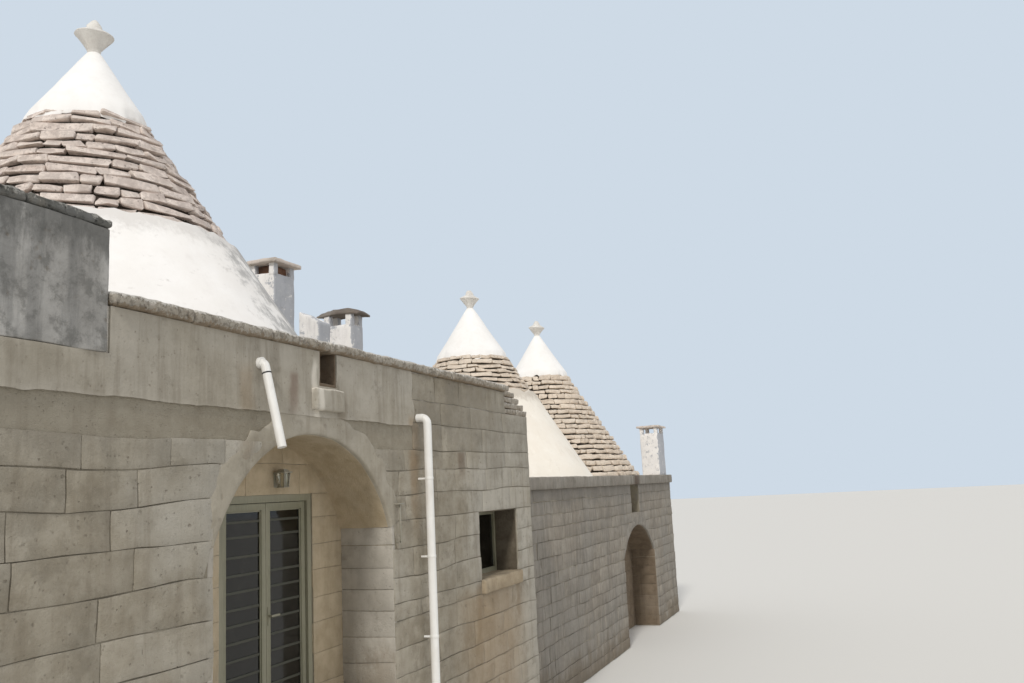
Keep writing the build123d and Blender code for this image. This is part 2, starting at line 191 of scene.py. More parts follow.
def archCut(plane, middle, top, arch):
    # the plane that trims a stone near an arch to its curve
    away = Vector((middle.x - arch["x"], 0, middle.z - arch["z"]))
    near = arch["radius"] + arch["reach"]
    if away.z <= -arch["radius"] or away.length >= near or top <= arch["spring"]:
        return None
    normal = away.normalized()
    touch = Vector((arch["x"], 0, arch["z"])) + normal * arch["radius"]
    return plane @ touch, plane.to_3x3() @ normal


def layCourses(bm, tone, rng, look, plane, left, right, levels, gaps=(), arch=None):
    for foot, top in pairsOf(courseLines(rng, levels, look["height"])):
        for x, spanEnd in freeSpans(left, right, foot, top, gaps):
            span = spanEnd - x
            count = max(1, round(span / rng.uniform(*look["length"])))
            parts = [rng.uniform(0.7, 1.3) for step in range(count)]
            for part in parts:
                width = span * part / sum(parts)
                proud = look["proud"] + rng.uniform(-1, 1) * look["uneven"]
                half = look["joint"] / 2
                start = Vector((x + half, -proud, foot + half))
                end = Vector((x + width - half, look["depth"], top - half))
                x += width
                cut = archCut(plane, (start + end) / 2, top, arch) if arch else None
                if end.x - start.x > shortest:
                    layStone(bm, tone, rng, start, end, plane, look["jitter"], cut)


def finishStones(bm, look):
    # long stones get joints in their length, then soft edges, wavy courses and a rough face
    loose = [vert for vert in bm.verts if not vert.link_faces]
    bmesh.ops.delete(bm, geom=loose, context="VERTS")
    long = [edge for edge in bm.edges if edge.calc_length() > look.get("split", 0.26)]
    bmesh.ops.subdivide_edges(bm, edges=long, cuts=look.get("cuts", 2), use_grid_fill=True)
    roundEdges(bm, look["round"], look.get("segments", 2), sharpEdges(bm))
    for vert in bm.verts:
        calm = min([1.0] + [abs(vert.co.z - level) / 0.3 for level in look.get("still", ())])
        swing = waver(vert.co.x + vert.co.y, vert.co.z * 1.4, look.get("phase", 0), 0.9)
        vert.co.z += swing * look.get("wave", 0.0) * calm
    roughen(bm.verts, look["rough"], look["grain"])


def pour(part, bm):
    # moves a finished part into the mesh of its piece
    scrap = bpy.data.meshes.new("scrap")
    part.to_mesh(scrap)
    part.free()
    bm.from_mesh(scrap)
    bpy.data.meshes.remove(scrap)


def plasterBox(bm, start, end, cell, amount, scale, rounding=0.015):
    # a box cut into cells, with its edges rounded and its faces hand-laid
    part = bmesh.new()
    addBox(part, start, end)
    roundEdges(part, rounding)
    size = end - start
    for axis in range(3):
        count = max(1, round(size[axis] / cell))
        direction = Vector([1 if axis == way else 0 for way in range(3)])
        for step in range(1, count):
            place = start.copy()
            place[axis] += size[axis] * step / count
            bmesh.ops.bisect_plane(part, geom=wholeOf(part), plane_co=place, plane_no=direction)
    roughen(part.verts, amount, scale)
    pour(part, bm)


def plasterPiece(name, start, end, look, material, standsFor=()):
    bm = bmesh.new()
    plasterBox(bm, start, end, look["cell"], look["rough"], look["grain"], look["round"])
    if "fine" in look:
        roughen(bm.verts, *look["fine"])
    addPiece(name, bm, material, standsFor=standsFor, sharpAngle=60)


def turnedRing(bm, outline, centreX, centreY, steps, closed=True):
    # spins an outline of (radius, height) points about the upright axis of a cone
    verts = [bm.verts.new((centreX + radius, centreY, height)) for radius, height in outline]
    edges = [bm.edges.new(pair) for pair in pairsOf(verts)]
    if closed:
        edges.append(bm.edges.new((verts[-1], verts[0])))
    bmesh.ops.spin(bm, geom=verts + edges, cent=(centreX, centreY, 0), axis=(0, 0, 1), angle=math.tau,
                   steps=steps, use_merge=True, use_duplicate=False)
    bmesh.ops.remove_doubles(bm, verts=bm.verts, dist=0.0005)


# Shader helpers
def feed(tree, value, socket):
    # a number or a colour is set on the socket, another node's output is linked to it
    if isinstance(value, (int, float)):
        socket.default_value = value
    elif isinstance(value, tuple):
        socket.default_value = (*value, 1.0)
    elif value is not None:
        tree.links.new(value, socket)


def makeGroup(name, inputs, outputs):
    group = bpy.data.node_groups.new(name, "ShaderNodeTree")
    for label, value in inputs.items():
        socket = group.interface.new_socket(name=label, in_out="INPUT", socket_type="NodeSocketFloat")
        socket.default_value = value
    for label in outputs:
        group.interface.new_socket(name=label, in_out="OUTPUT", socket_type="NodeSocketFloat")
    return group, group.nodes.new("NodeGroupInput").outputs, group.nodes.new("NodeGroupOutput").inputs


def noiseNode(tree, vector, scale, detail=6.0, roughness=0.6):
    node = tree.nodes.new("ShaderNodeTexNoise")
    for label, value in (("Detail", detail), ("Roughness", roughness), ("Scale", scale), ("Vector", vector)):
        feed(tree, value, node.inputs[label])
    return node.outputs["Fac"]


def mathNode(tree, operation, first, second=None, clamp=False):
    node = tree.nodes.new("ShaderNodeMath")
    node.operation = operation
    node.use_clamp = clamp
    feed(tree, first, node.inputs[0])
    feed(tree, second, node.inputs[1])
    return node.outputs[0]


def times(tree, first, second):
    return mathNode(tree, "MULTIPLY", first, second)


def plus(tree, first, second):
    return mathNode(tree, "ADD", first, second)


def minus(tree, first, second):
    return mathNode(tree, "SUBTRACT", first, second)


def rangeNode(tree, value, settings, smooth=False):
    node = tree.nodes.new("ShaderNodeMapRange")
    if smooth:
        node.interpolation_type = "SMOOTHSTEP"
    for label, setting in settings.items():
        feed(tree, setting, node.inputs[label])
    feed(tree, value, node.inputs["Value"])
    return node.outputs["Result"]


def stepNode(tree, value, start, end):
    # smooth step from 0 at start to 1 at end
    return rangeNode(tree, value, {"From Min": start, "From Max": end}, smooth=True)


def mixColour(tree, mask, first, second):
    node = tree.nodes.new("ShaderNodeMix")
    node.data_type = "RGBA"
    for place, value in ((0, mask), (6, first), (7, second)):  # factor, A and B of a colour mix
        feed(tree, value, node.inputs[place])
    return node.outputs[2]


def colour(red, green, blue):
    # screen colour 0 to 255 as a linear colour
    shares = [part / 255 for part in (red, green, blue)]
    return tuple(((share + 0.055) / 1.055) ** 2.4 if share > 0.04 else share / 12.92 for share in shares)


def placesOf(tree):
    return tree.nodes.new("ShaderNodeTexCoord").outputs["Object"]


def surfaceOf(tree, label):
    return tree.nodes.new("ShaderNodeNewGeometry").outputs[label]


def axesOf(tree, vector):
    node = tree.nodes.new("ShaderNodeSeparateXYZ")
    feed(tree, vector, node.inputs[0])
    return node.outputs


def stretched(tree, vector, scale):
    node = tree.nodes.new("ShaderNodeMapping")
    node.inputs["Scale"].default_value = scale
    feed(tree, vector, node.inputs["Vector"])
    return node.outputs["Vector"]


def buildStoneGrain():
    # mottling, pits and the height of a cut or weathered stone face
    outputs = ["Mottle", "Pit", "Height"]
    group, given, out = makeGroup("stoneGrain", dict(Scale=6.0, Pits=0.5, Fine=0.4), outputs)
    places = placesOf(group)
    wide = noiseNode(group, places, given["Scale"], 8.0, 0.62)
    fine = noiseNode(group, places, times(group, given["Scale"], 9.0), 5.0, 0.7)
    cells = group.nodes.new("ShaderNodeTexVoronoi")
    cells.feature = "SMOOTH_F1"
    feed(group, places, cells.inputs["Vector"])
    feed(group, times(group, given["Scale"], 5.0), cells.inputs["Scale"])
    spot = minus(group, 1.0, stepNode(group, cells.outputs["Distance"], 0.05, 0.32))
    sparse = stepNode(group, noiseNode(group, places, times(group, given["Scale"], 2.3)), 0.48, 0.66)
    pit = times(group, times(group, spot, sparse), given["Pits"])
    feed(group, stepNode(group, wide, 0.3, 0.7), out["Mottle"])
    feed(group, pit, out["Pit"])
    feed(group, minus(group, plus(group, wide, times(group, fine, given["Fine"])), pit), out["Height"])
    return group


def buildRainStreaks():
    # upright streaks that rain leaves, broken up along their length
    group, given, out = makeGroup("rainStreaks", dict(Start=0.5, End=0.75, Width=1.0), ["Mask"])
    places = placesOf(group)
    node = group.nodes.new("ShaderNodeVectorMath")
    node.operation = "SCALE"
    feed(group, stretched(group, places, (7.0, 7.0, 0.55)), node.inputs[0])
    feed(group, given["Width"], node.inputs["Scale"])
    tall = noiseNode(group, node.outputs["Vector"], 1.0, 7.0, 0.65)
    broken = noiseNode(group, places, 1.6, 5.0, 0.6)
    both = plus(group, times(group, tall, 0.7), times(group, broken, 0.3))
    feed(group, stepNode(group, both, given["Start"], given["End"]), out["Mask"])
    return group


def buildLichen():
    # blotches of lichen and soot, denser on faces that look up
    group, given, out = makeGroup("lichen", dict(Scale=3.0, Cover=0.5, Upward=0.3), ["Mask"])
    blotch = noiseNode(group, placesOf(group), given["Scale"], 9.0, 0.72)
    rise = mathNode(group, "MAXIMUM", axesOf(group, surfaceOf(group, "Normal"))["Z"], 0.0)
    up = times(group, rise, given["Upward"])
    amount = plus(group, plus(group, blotch, times(group, up, 0.3)), minus(group, given["Cover"], 0.5))
    feed(group, stepNode(group, amount, 0.5, 0.62), out["Mask"])
    return group


def buildWearAndShade():
    # pale wear on edges that stand out; the hollows are darkened, which is painted shade
    group, given, out = makeGroup("wearAndShade", dict(Amount=1.0), ["Edge", "HollowShade"])
    bend = surfaceOf(group, "Pointiness")
    for label, start, end in (("Edge", 0.52, 0.62), ("HollowShade", 0.49, 0.4)):
        feed(group, times(group, stepNode(group, bend, start, end), given["Amount"]), out[label])
    return group


def buildFacing():
    # ragged masks of the faces that look up, down, to the front, left and right
    ways = (("Up", "Z", 1.0), ("Down", "Z", -1.0), ("Front", "Y", -1.0), ("Left", "X", -1.0),
            ("Right", "X", 1.0))
    labels = [way[0] for way in ways]
    group, given, out = makeGroup("facing", dict(Ragged=0.5, Scale=14.0, Spread=0.0), labels)
    cloud = minus(group, noiseNode(group, placesOf(group), given["Scale"], 7.0, 0.7), 0.5)
    broken = plus(group, times(group, times(group, cloud, given["Ragged"]), 2.0), given["Spread"])
    normal = axesOf(group, surfaceOf(group, "Normal"))
    for label, axis, way in ways:
        share = plus(group, times(group, normal[axis], way), broken)
        feed(group, stepNode(group, share, 0.25, 0.6), out[label])
    return group


def buildDripStain():
    # a stain that runs down a wall from one place
    group, given, out = makeGroup("dripStain", dict(Place=0.0, Top=0.0, Length=1.0, Width=0.1), ["Mask"])
    places = placesOf(group)
    place = axesOf(group, places)
    cloud = noiseNode(group, stretched(group, places, (5.0, 5.0, 2.0)), 1.0, 5.0, 0.6)
    wander = times(group, minus(group, cloud, 0.5), 0.22)
    away = mathNode(group, "ABSOLUTE", plus(group, minus(group, place["X"], given["Place"]), wander))
    fall = mathNode(group, "DIVIDE", minus(group, given["Top"], place["Z"]), given["Length"])
    below = times(group, stepNode(group, fall, -0.04, 0.06), stepNode(group, fall, 1.0, 0.3))
    narrow = stepNode(group, mathNode(group, "DIVIDE", away, given["Width"]), 1.0, 0.2)
    feed(group, times(group, below, narrow), out["Mask"])
    return group


def buildLevelBand():
    # speckled darkening on both sides of a level: damp at the ground, and grey speckle with painted shade
    # under a row of slabs or a coping
    group, given, out = makeGroup("levelBand", dict(Level=0.0, Reach=0.4, Speckle=9.0), ["Mask"])
    places = placesOf(group)
    rise = minus(group, axesOf(group, places)["Z"], given["Level"])
    away = mathNode(group, "ABSOLUTE", mathNode(group, "DIVIDE", rise, given["Reach"]))
    near = mathNode(group, "SUBTRACT", 1.0, away, clamp=True)
    broad = noiseNode(group, places, 1.4, 5.0, 0.6)
    small = noiseNode(group, stretched(group, places, (1.0, 1.0, 0.35)), given["Speckle"], 8.0, 0.75)
    both = plus(group, times(group, broad, 0.5), times(group, small, 0.5))
    feed(group, stepNode(group, plus(group, both, times(group, near, 0.32)), 0.58, 0.78), out["Mask"])
    return group


stoneGrain = buildStoneGrain()
rainStreaks = buildRainStreaks()
lichen = buildLichen()
wearAndShade = buildWearAndShade()
facing = buildFacing()
dripStain = buildDripStain()
levelBand = buildLevelBand()


def useGroup(tree, group, **values):
    node = tree.nodes.new("ShaderNodeGroup")
    node.node_tree = group
    for label, value in values.items():
        feed(tree, value, node.inputs[label])
    return node.outputs


def newMaterial(name):
    material = bpy.data.materials.new(name)
    material.use_nodes = True
    tree = material.node_tree
    return material, tree, tree.nodes["Principled BSDF"]


def tinted(tree, shade, mask, amount, tint):
    return mixColour(tree, times(tree, mask, amount), shade, colour(*tint))


def setSurface(tree, shader, shade, mask, roughness):
    feed(tree, shade, shader.inputs["Base Color"])
    rough = rangeNode(tree, mask, {"To Min": roughness[0], "To Max": roughness[1]})
    feed(tree, rough, shader.inputs["Roughness"])


def setBump(tree, shader, height, strength, relief):
    bump = tree.nodes.new("ShaderNodeBump")
    for label, value in (("Strength", strength), ("Distance", relief), ("Height", height)):
        feed(tree, value, bump.inputs[label])
    feed(tree, bump.outputs["Normal"], shader.inputs["Normal"])


def masonryMaterial(name, look):
    # stone or plaster: two tones, a tone for each stone, patches, streaks, lichen, facing tints, stains,
    # bands, pits, edge wear, painted shade in the hollows and a rough surface
    material, tree, shader = newMaterial(name)
    grain = useGroup(tree, stoneGrain, Scale=look["scale"], Pits=look["pits"], Fine=look["fine"])
    start, end, width = look["streak"]
    streak = useGroup(tree, rainStreaks, Start=start, End=end, Width=width)
    scale, cover, upward = look["lichen"]
    growth = useGroup(tree, lichen, Scale=scale, Cover=cover, Upward=upward)
    wear = useGroup(tree, wearAndShade, Amount=look["wear"])
    shade = mixColour(tree, grain["Mottle"], colour(*look["base"]), colour(*look["second"]))
    if look["tone"]:
        attribute = tree.nodes.new("ShaderNodeAttribute")
        attribute.attribute_name = "tone"
        dark, pale = colour(*look["toneDark"]), colour(*look["tonePale"])
        toned = mixColour(tree, attribute.outputs["Fac"], dark, pale)
        shade = mixColour(tree, look["tone"], shade, toned)
    patchScale, patchAmount = look["patch"]
    wide = stepNode(tree, noiseNode(tree, placesOf(tree), patchScale, 5.0, 0.55), 0.42, 0.62)
    shade = tinted(tree, shade, wide, patchAmount, look["patchColour"])
    shade = tinted(tree, shade, streak["Mask"], look["streakAmount"], look["streakColour"])
    shade = tinted(tree, shade, growth["Mask"], look["lichenAmount"], look["lichenColour"])
    # facing tints are painted light and shade on the finishes marked so below, and real plaster colour on the
    # end walls
    if look["facing"]:
        ragged, scale, spread = look["ragged"], look["raggedScale"], look["spread"]
        sides = useGroup(tree, facing, Ragged=ragged, Scale=scale, Spread=spread)
        for label, amount, tint in look["facing"]:
            shade = tinted(tree, shade, sides[label], amount, tint)
    for place, top, length, width, tint, amount in look["stains"]:
        stain = useGroup(tree, dripStain, Place=place, Top=top, Length=length, Width=width)
        shade = tinted(tree, shade, stain["Mask"], amount, tint)
    for level, reach, speckle, tint, amount in look["bands"]:
        band = useGroup(tree, levelBand, Level=level, Reach=reach, Speckle=speckle)
        shade = tinted(tree, shade, band["Mask"], amount, tint)
    shade = mixColour(tree, grain["Pit"], shade, colour(*look["pitAndShadeColour"]))
    # painted shade: the hollows are darkened with the pit colour
    shade = tinted(tree, shade, wear["HollowShade"], look["hollowShade"], look["pitAndShadeColour"])
    shade = tinted(tree, shade, wear["Edge"], 0.5, look["edgeColour"])
    setSurface(tree, shader, shade, grain["Mottle"], look["roughness"])
    setBump(tree, shader, grain["Height"], look["bump"], look["relief"])
    shader.inputs["Specular IOR Level"].default_value = 0.25
    return material


pipeLeft = high("rain_pipe").x
pipeRight = low("downpipe").x
plainStone = dict(
    base=(174, 166, 150), second=(148, 139, 122), scale=6.0, pits=0.55, fine=0.55, tone=0.25,
    toneDark=(144, 135, 118), tonePale=(186, 179, 165), patch=(0.9, 0.45), patchColour=(190, 186, 176),
    streak=(0.48, 0.66, 1.0), streakAmount=0.4, streakColour=(124, 114, 98), lichen=(4.0, 0.44, 0.4),
    lichenAmount=0.35, lichenColour=(112, 106, 93), pitAndShadeColour=(112, 102, 87), wear=0.55, hollowShade=0.2,
    edgeColour=(190, 183, 170), ragged=0.7, raggedScale=14.0, roughness=(0.78, 0.95), bump=0.8, relief=0.03,
    spread=0.0, facing=(), stains=(), bands=())
# stains: place, top, length, width, colour and strength of each
frontStains = [
    (pipeRight - 0.05, wallTop + 0.05, 1.5, 0.16, (150, 124, 92), 0.55),
    (pipeLeft - 0.2, wallTop + 0.3, 1.6, 0.14, (146, 128, 104), 0.45),
    (upperLeft + 4.08, wallTop + 0.45, 1.2, 0.07, (226, 220, 208), 0.7),
    (upperLeft + 4.52, wallTop + 0.2, 1.3, 0.1, (120, 108, 90), 0.5),
    (upperLeft + 7.45, upperFloor + 0.9, 0.9, 0.1, (126, 110, 88), 0.5),
    (upperLeft + 8.75, upperFloor + 0.85, 0.8, 0.12, (126, 110, 88), 0.5),
    (upperLeft + 7.9, upperFloor + 0.85, 2.6, 1.5, (160, 136, 104), 0.55),
    (upperLeft + 7.1, upperFloor + 2.45, 0.35, 0.12, (104, 82, 62), 0.6),
    (upperLeft + 3.75, wallTop + 0.3, 0.5, 0.12, (112, 84, 72), 0.45),
]
# bands: level, reach, fineness of the speckle, colour and strength of each
dampFoot = (0.0, 1.0, 6.0, (118, 104, 84), 0.6)
frontBlockFinish = masonryMaterial("frontBlockFinish", dict(
    plainStone, stains=frontStains, bands=[dampFoot, (wallTop, 0.9, 3.0, (140, 134, 122), 0.5)],
    patch=(0.55, 0.6), tone=0.28, lichen=(2.6, 0.5, 0.4), lichenAmount=0.4, lichenColour=(124, 117, 103)))
mortarLook = dict(
    plainStone, base=(158, 150, 133), second=(142, 133, 116), tone=0, patchColour=(170, 163, 149),
    edgeColour=(168, 161, 146), scale=12.0, lichenAmount=0.15, ragged=0.3)
mortarFinish = masonryMaterial("mortarFinish", mortarLook)
leftEndFinish = masonryMaterial("leftEndFinish", dict(
    mortarLook, facing=[("Left", 1.0, (206, 201, 192))]))
rightEndFinish = masonryMaterial("rightEndFinish", dict(
    mortarLook, facing=[("Right", 1.0, (206, 201, 192))]))
archFinish = masonryMaterial("archFinish", dict(
    plainStone, base=(172, 165, 150), second=(154, 146, 131), tone=0, scale=3.5, pits=0.35, patch=(0.9, 0.5),
    patchColour=(184, 178, 166), lichenAmount=0.3, bump=0.5))
nicheFinish = masonryMaterial("nicheFinish", dict(
    plainStone, base=(190, 174, 147), second=(170, 154, 127), tone=0.15, toneDark=(162, 147, 122),
    tonePale=(200, 187, 164), patchColour=(186, 177, 160), lichenAmount=0.12, streakAmount=0.25,
    streakColour=(130, 114, 91), pitAndShadeColour=(112, 97, 76), hollowShade=0.25, pits=0.25, edgeColour=(202, 189, 167),
    bump=0.5))
jambFinish = masonryMaterial("jambFinish", dict(
    plainStone, base=(184, 178, 167), second=(168, 162, 151), tone=0.12, toneDark=(160, 153, 141),
    tonePale=(194, 188, 178), patchColour=(194, 190, 182), streakAmount=0.2, pitAndShadeColour=(118, 110, 98),
    edgeColour=(200, 195, 186), pits=0.35, bump=0.5, bands=[(upperFloor, 0.9, 6.0, (130, 116, 96), 0.5)]))
lowerBlockFinish = masonryMaterial("lowerBlockFinish", dict(
    plainStone, base=(158, 150, 138), second=(138, 130, 119), toneDark=(128, 120, 109),
    tonePale=(174, 167, 155), tone=0.3, patchColour=(142, 138, 131), patch=(0.6, 0.6), bump=0.8,
    pitAndShadeColour=(92, 84, 74), streak=(0.45, 0.62, 1.6), streakAmount=0.55, streakColour=(112, 106, 98),
    bands=[(0.0, 0.8, 5.0, (112, 98, 78), 0.6), (lowerTop, 0.5, 4.0, (120, 116, 110), 0.6)]))
# brown plaster for the lower niche, set darker than its wall: partly real brown, partly painted shade in the
# recess
lowerNicheShadeFinish = masonryMaterial("lowerNicheShadeFinish", dict(
    plainStone, base=(134, 119, 101), second=(114, 100, 83), tone=0.15, toneDark=(112, 98, 81),
    tonePale=(148, 134, 116), patchColour=(132, 121, 107), lichenColour=(88, 78, 65),
    streakColour=(94, 81, 66), pitAndShadeColour=(80, 68, 54), edgeColour=(158, 144, 126)))
eaveFinish = masonryMaterial("eaveFinish", dict(
    plainStone, base=(150, 144, 134), second=(132, 126, 117), tone=0, scale=4.0, patch=(0.8, 0.5),
    patchColour=(166, 161, 152), streak=(0.44, 0.62, 1.8), streakAmount=0.5, streakColour=(108, 103, 96),
    stains=[(upperLeft + 18.42, high("lower_roof_deck").z + 0.1, 1.2, 0.42, (92, 78, 66), 0.9)]))
# dark brown for the rain slot: water stain, deepened with painted shade
slotStainAndShadeFinish = masonryMaterial("slotStainAndShadeFinish", dict(
    plainStone, base=(128, 112, 94), second=(106, 91, 75), tone=0, scale=7.0, patchColour=(118, 104, 88),
    streakColour=(84, 70, 56), edgeColour=(150, 134, 114)))
# dark plaster for the window reveal: painted shade in the recess
revealShadeFinish = masonryMaterial("revealShadeFinish", dict(
    plainStone, base=(112, 103, 88), second=(92, 83, 70), tone=0, patchColour=(124, 116, 102),
    streakColour=(74, 66, 54), edgeColour=(134, 125, 109), pitAndShadeColour=(66, 58, 48)))
renderFinish = masonryMaterial("renderFinish", dict(
    plainStone, base=(170, 163, 149), second=(154, 147, 133), tone=0, streak=(0.45, 0.62, 1.4),
    streakAmount=0.5, streakColour=(130, 122, 108), patchColour=(186, 181, 171), bump=0.4,
    # the Up tint pales the faces that look up: painted highlight
    edgeColour=(204, 198, 186), stains=frontStains, facing=[("Up", 0.7, (222, 215, 202))]))
wallPlaster = masonryMaterial("wallPlaster", dict(
    plainStone, base=(206, 201, 192), second=(188, 183, 174), tone=0, scale=2.5, pits=0.25, patch=(0.5, 0.4),
    patchColour=(216, 212, 204), streakAmount=0.3, streakColour=(164, 160, 152), lichenAmount=0.25,
    lichenColour=(150, 148, 142), pitAndShadeColour=(150, 144, 134), edgeColour=(222, 218, 210), bump=0.35,
    relief=0.015))
blockPlaster = masonryMaterial("blockPlaster", dict(
    plainStone, base=(172, 170, 166), second=(140, 138, 134), tone=0, scale=3.5, pits=0.5, patch=(1.3, 0.8),
    patchColour=(214, 212, 208), streak=(0.46, 0.6, 1.5), streakAmount=0.5, streakColour=(112, 112, 110),
    lichen=(7.0, 0.5, 0.0), lichenAmount=0.5, lichenColour=(104, 104, 100), bump=0.6,
    stains=[(upperLeft + 0.6, upperRoof + 0.8, 0.9, 0.5, (112, 112, 112), 0.6)],
    # the dark band under the coping is partly grime and partly painted shade from the coping
    bands=[(low("block_coping").z, 0.4, 8.0, (88, 88, 85), 0.75)]))
conePlaster = masonryMaterial("conePlaster", dict(
    plainStone, base=(252, 250, 247), second=(246, 243, 239), tone=0, scale=2.2, pits=0.15, patch=(0.5, 0.25),
    patchColour=(232, 229, 225), streak=(0.55, 0.75, 0.6), streakAmount=0.3, streakColour=(204, 199, 194),
    lichen=(6.0, 0.42, 0.0), lichenAmount=0.35, lichenColour=(176, 170, 164), pitAndShadeColour=(176, 166, 156),
    edgeColour=(252, 250, 247), bump=0.4, relief=0.012, ragged=0.9, raggedScale=3.5, spread=0.22,
    # the Right tint greys the side that looks away from the key light: painted shade
    facing=[("Right", 0.8, (166, 165, 163))],
    # the first band, grey just under the slabs, is painted shade from their overhang with grey speckle
    bands=[(low("cone_stones").z + 0.05, 0.3, 16.0, (178, 172, 166), 0.35),
           (upperRoof, 0.35, 8.0, (190, 184, 176), 0.5)]))
twinPlaster = masonryMaterial("twinPlaster", dict(
    plainStone, base=(253, 248, 238), second=(246, 239, 227), tone=0, scale=2.2, pits=0.15, patch=(0.6, 0.35),
    patchColour=(234, 228, 217), streak=(0.52, 0.7, 0.8), streakAmount=0.35, streakColour=(208, 198, 182),
    lichen=(6.0, 0.42, 0.0), lichenAmount=0.25, lichenColour=(190, 180, 164), pitAndShadeColour=(182, 168, 150),
    edgeColour=(254, 250, 242), bump=0.4, relief=0.012, ragged=1.1, raggedScale=6.0,
    # the Front tint darkens the faces that look to the front: painted shade
    facing=[("Front", 0.25, (220, 211, 196))],
    # the band under the slabs is painted shade from their overhang with grey speckle
    bands=[(low("first_cone_stones").z, 0.3, 12.0, (170, 158, 142), 0.5)]))
capFinish = masonryMaterial("capFinish", dict(
    plainStone, base=(250, 249, 247), second=(245, 243, 240), tone=0, scale=2.5, pits=0.08, patch=(0.8, 0.25),
    patchColour=(238, 235, 230), streakAmount=0.15, streakColour=(220, 214, 207), lichenAmount=0.08,
    lichenColour=(200, 194, 186), pitAndShadeColour=(206, 198, 190), edgeColour=(252, 251, 249), bump=0.35,
    # the Right tint darkens the side away from the key light: painted shade
    relief=0.012, ragged=1.0, raggedScale=5.0, facing=[("Right", 0.35, (226, 219, 210))]))
pinnacleFinish = masonryMaterial("pinnacleFinish", dict(
    plainStone, base=(240, 237, 231), second=(228, 224, 217), tone=0, scale=9.0, pits=0.2,
    patchColour=(216, 211, 204), patch=(4.0, 0.4), streakAmount=0.2, streakColour=(196, 190, 181),
    lichenAmount=0.2, lichenColour=(172, 166, 157), pitAndShadeColour=(168, 160, 150), edgeColour=(246, 243, 238)))
roofStoneFinish = masonryMaterial("roofStoneFinish", dict(
    plainStone, base=(250, 235, 224), second=(206, 188, 176), scale=8.0, pits=0.95, fine=0.6, tone=0.35,
    toneDark=(204, 187, 176), tonePale=(250, 238, 228), patchColour=(226, 212, 204), patch=(1.2, 0.4),
    streakAmount=0.12, streakColour=(132, 122, 114), lichen=(10.0, 0.52, 0.4), lichenAmount=0.5,
    lichenColour=(150, 135, 127), pitAndShadeColour=(104, 88, 80), hollowShade=0.7, wear=1.0, edgeColour=(250, 240, 231),
    bump=0.9, relief=0.02, ragged=1.2, raggedScale=12.0,
    # the Front and Right tints grey the faces that look to the front and away from the key light: painted
    # shade
    facing=[("Front", 0.12, (186, 180, 177)), ("Right", 0.5, (150, 142, 138))]))
twinStoneFinish = masonryMaterial("twinStoneFinish", dict(
    plainStone, base=(242, 226, 207), second=(204, 186, 167), scale=9.0, pits=0.85, fine=0.6, tone=0.35,
    toneDark=(198, 181, 162), tonePale=(248, 235, 218), patchColour=(226, 214, 199), streakAmount=0.1,
    lichenAmount=0.35, lichenColour=(156, 143, 128), pitAndShadeColour=(96, 82, 70), hollowShade=1.0, wear=1.0,
    edgeColour=(242, 231, 216), bump=1.0, relief=0.025))
# nearly black: painted shade in the gaps between the cone slabs
gapShadeFinish = masonryMaterial("gapShadeFinish", dict(
    plainStone, base=(62, 54, 47), second=(44, 38, 33), tone=0, patchColour=(70, 62, 54),
    edgeColour=(70, 62, 54), pitAndShadeColour=(30, 26, 22), lichenColour=(52, 46, 40), streakColour=(50, 44, 38)))
copingFinish = masonryMaterial("copingFinish", dict(
    plainStone, base=(192, 183, 169), second=(164, 154, 139), scale=11.0, pits=0.9, tone=0.25,
    lichen=(20.0, 0.53, 0.3), lichenAmount=0.6, lichenColour=(104, 97, 87), streakColour=(124, 108, 88),
    streakAmount=0.45, edgeColour=(214, 207, 196), bump=1.0, wear=1.0, hollowShade=0.6, ragged=2.2,
    # the Down tint browns the faces that look down: painted shadow under the lip; the Up tint pales the top,
    # partly limewash dribbles and partly painted highlight
    raggedScale=34.0, facing=[("Up", 0.8, (230, 226, 218)), ("Down", 0.7, (138, 118, 93))]))
mossyFinish = masonryMaterial("mossyFinish", dict(
    plainStone, base=(112, 112, 110), second=(88, 89, 85), scale=8.0, pits=0.8, toneDark=(80, 82, 76),
    tonePale=(142, 142, 139), lichen=(8.0, 0.56, 1.0), lichenAmount=0.55, lichenColour=(70, 70, 63),
    patchColour=(122, 122, 118), edgeColour=(178, 176, 170), pitAndShadeColour=(52, 50, 46), bump=1.0, wear=1.0,
    # the Up tint pales the faces that look up: painted highlight
    ragged=2.4, raggedScale=30.0, facing=[("Up", 0.55, (196, 193, 186))]))
slabFinish = masonryMaterial("slabFinish", dict(
    plainStone, base=(172, 156, 142), second=(132, 119, 108), scale=7.0, tone=0.85, toneDark=(78, 70, 64),
    tonePale=(232, 220, 210), lichen=(8.0, 0.46, 0.3), lichenAmount=0.3, lichenColour=(96, 88, 80),
    edgeColour=(196, 184, 172), patch=(2.0, 0.25), pitAndShadeColour=(84, 74, 64), bump=0.8))
chimneyFinish = masonryMaterial("chimneyFinish", dict(
    plainStone, base=(250, 247, 244), second=(240, 237, 233), tone=0, scale=4.0, pits=0.4, patch=(1.6, 0.35),
    patchColour=(222, 220, 219), streak=(0.5, 0.64, 1.4), streakAmount=0.4, streakColour=(192, 189, 187),
    lichen=(9.0, 0.48, 0.0), lichenAmount=0.35, lichenColour=(164, 163, 163), pitAndShadeColour=(140, 136, 133),
    edgeColour=(252, 250, 246), bump=0.7, relief=0.02, ragged=2.2, raggedScale=9.0,
    # the Front tint greys the faces that look to the front with a cool blue: painted shade
    facing=[("Front", 0.75, (158, 163, 172))]))
flueClay = masonryMaterial("flueClay", dict(
    plainStone, base=(134, 100, 80), second=(108, 78, 62), tone=0, scale=12.0, patch=(3.0, 0.4),
    patchColour=(92, 74, 64), streakColour=(66, 54, 48), lichenColour=(74, 62, 54), pitAndShadeColour=(60, 46, 38),
    edgeColour=(156, 122, 100)))
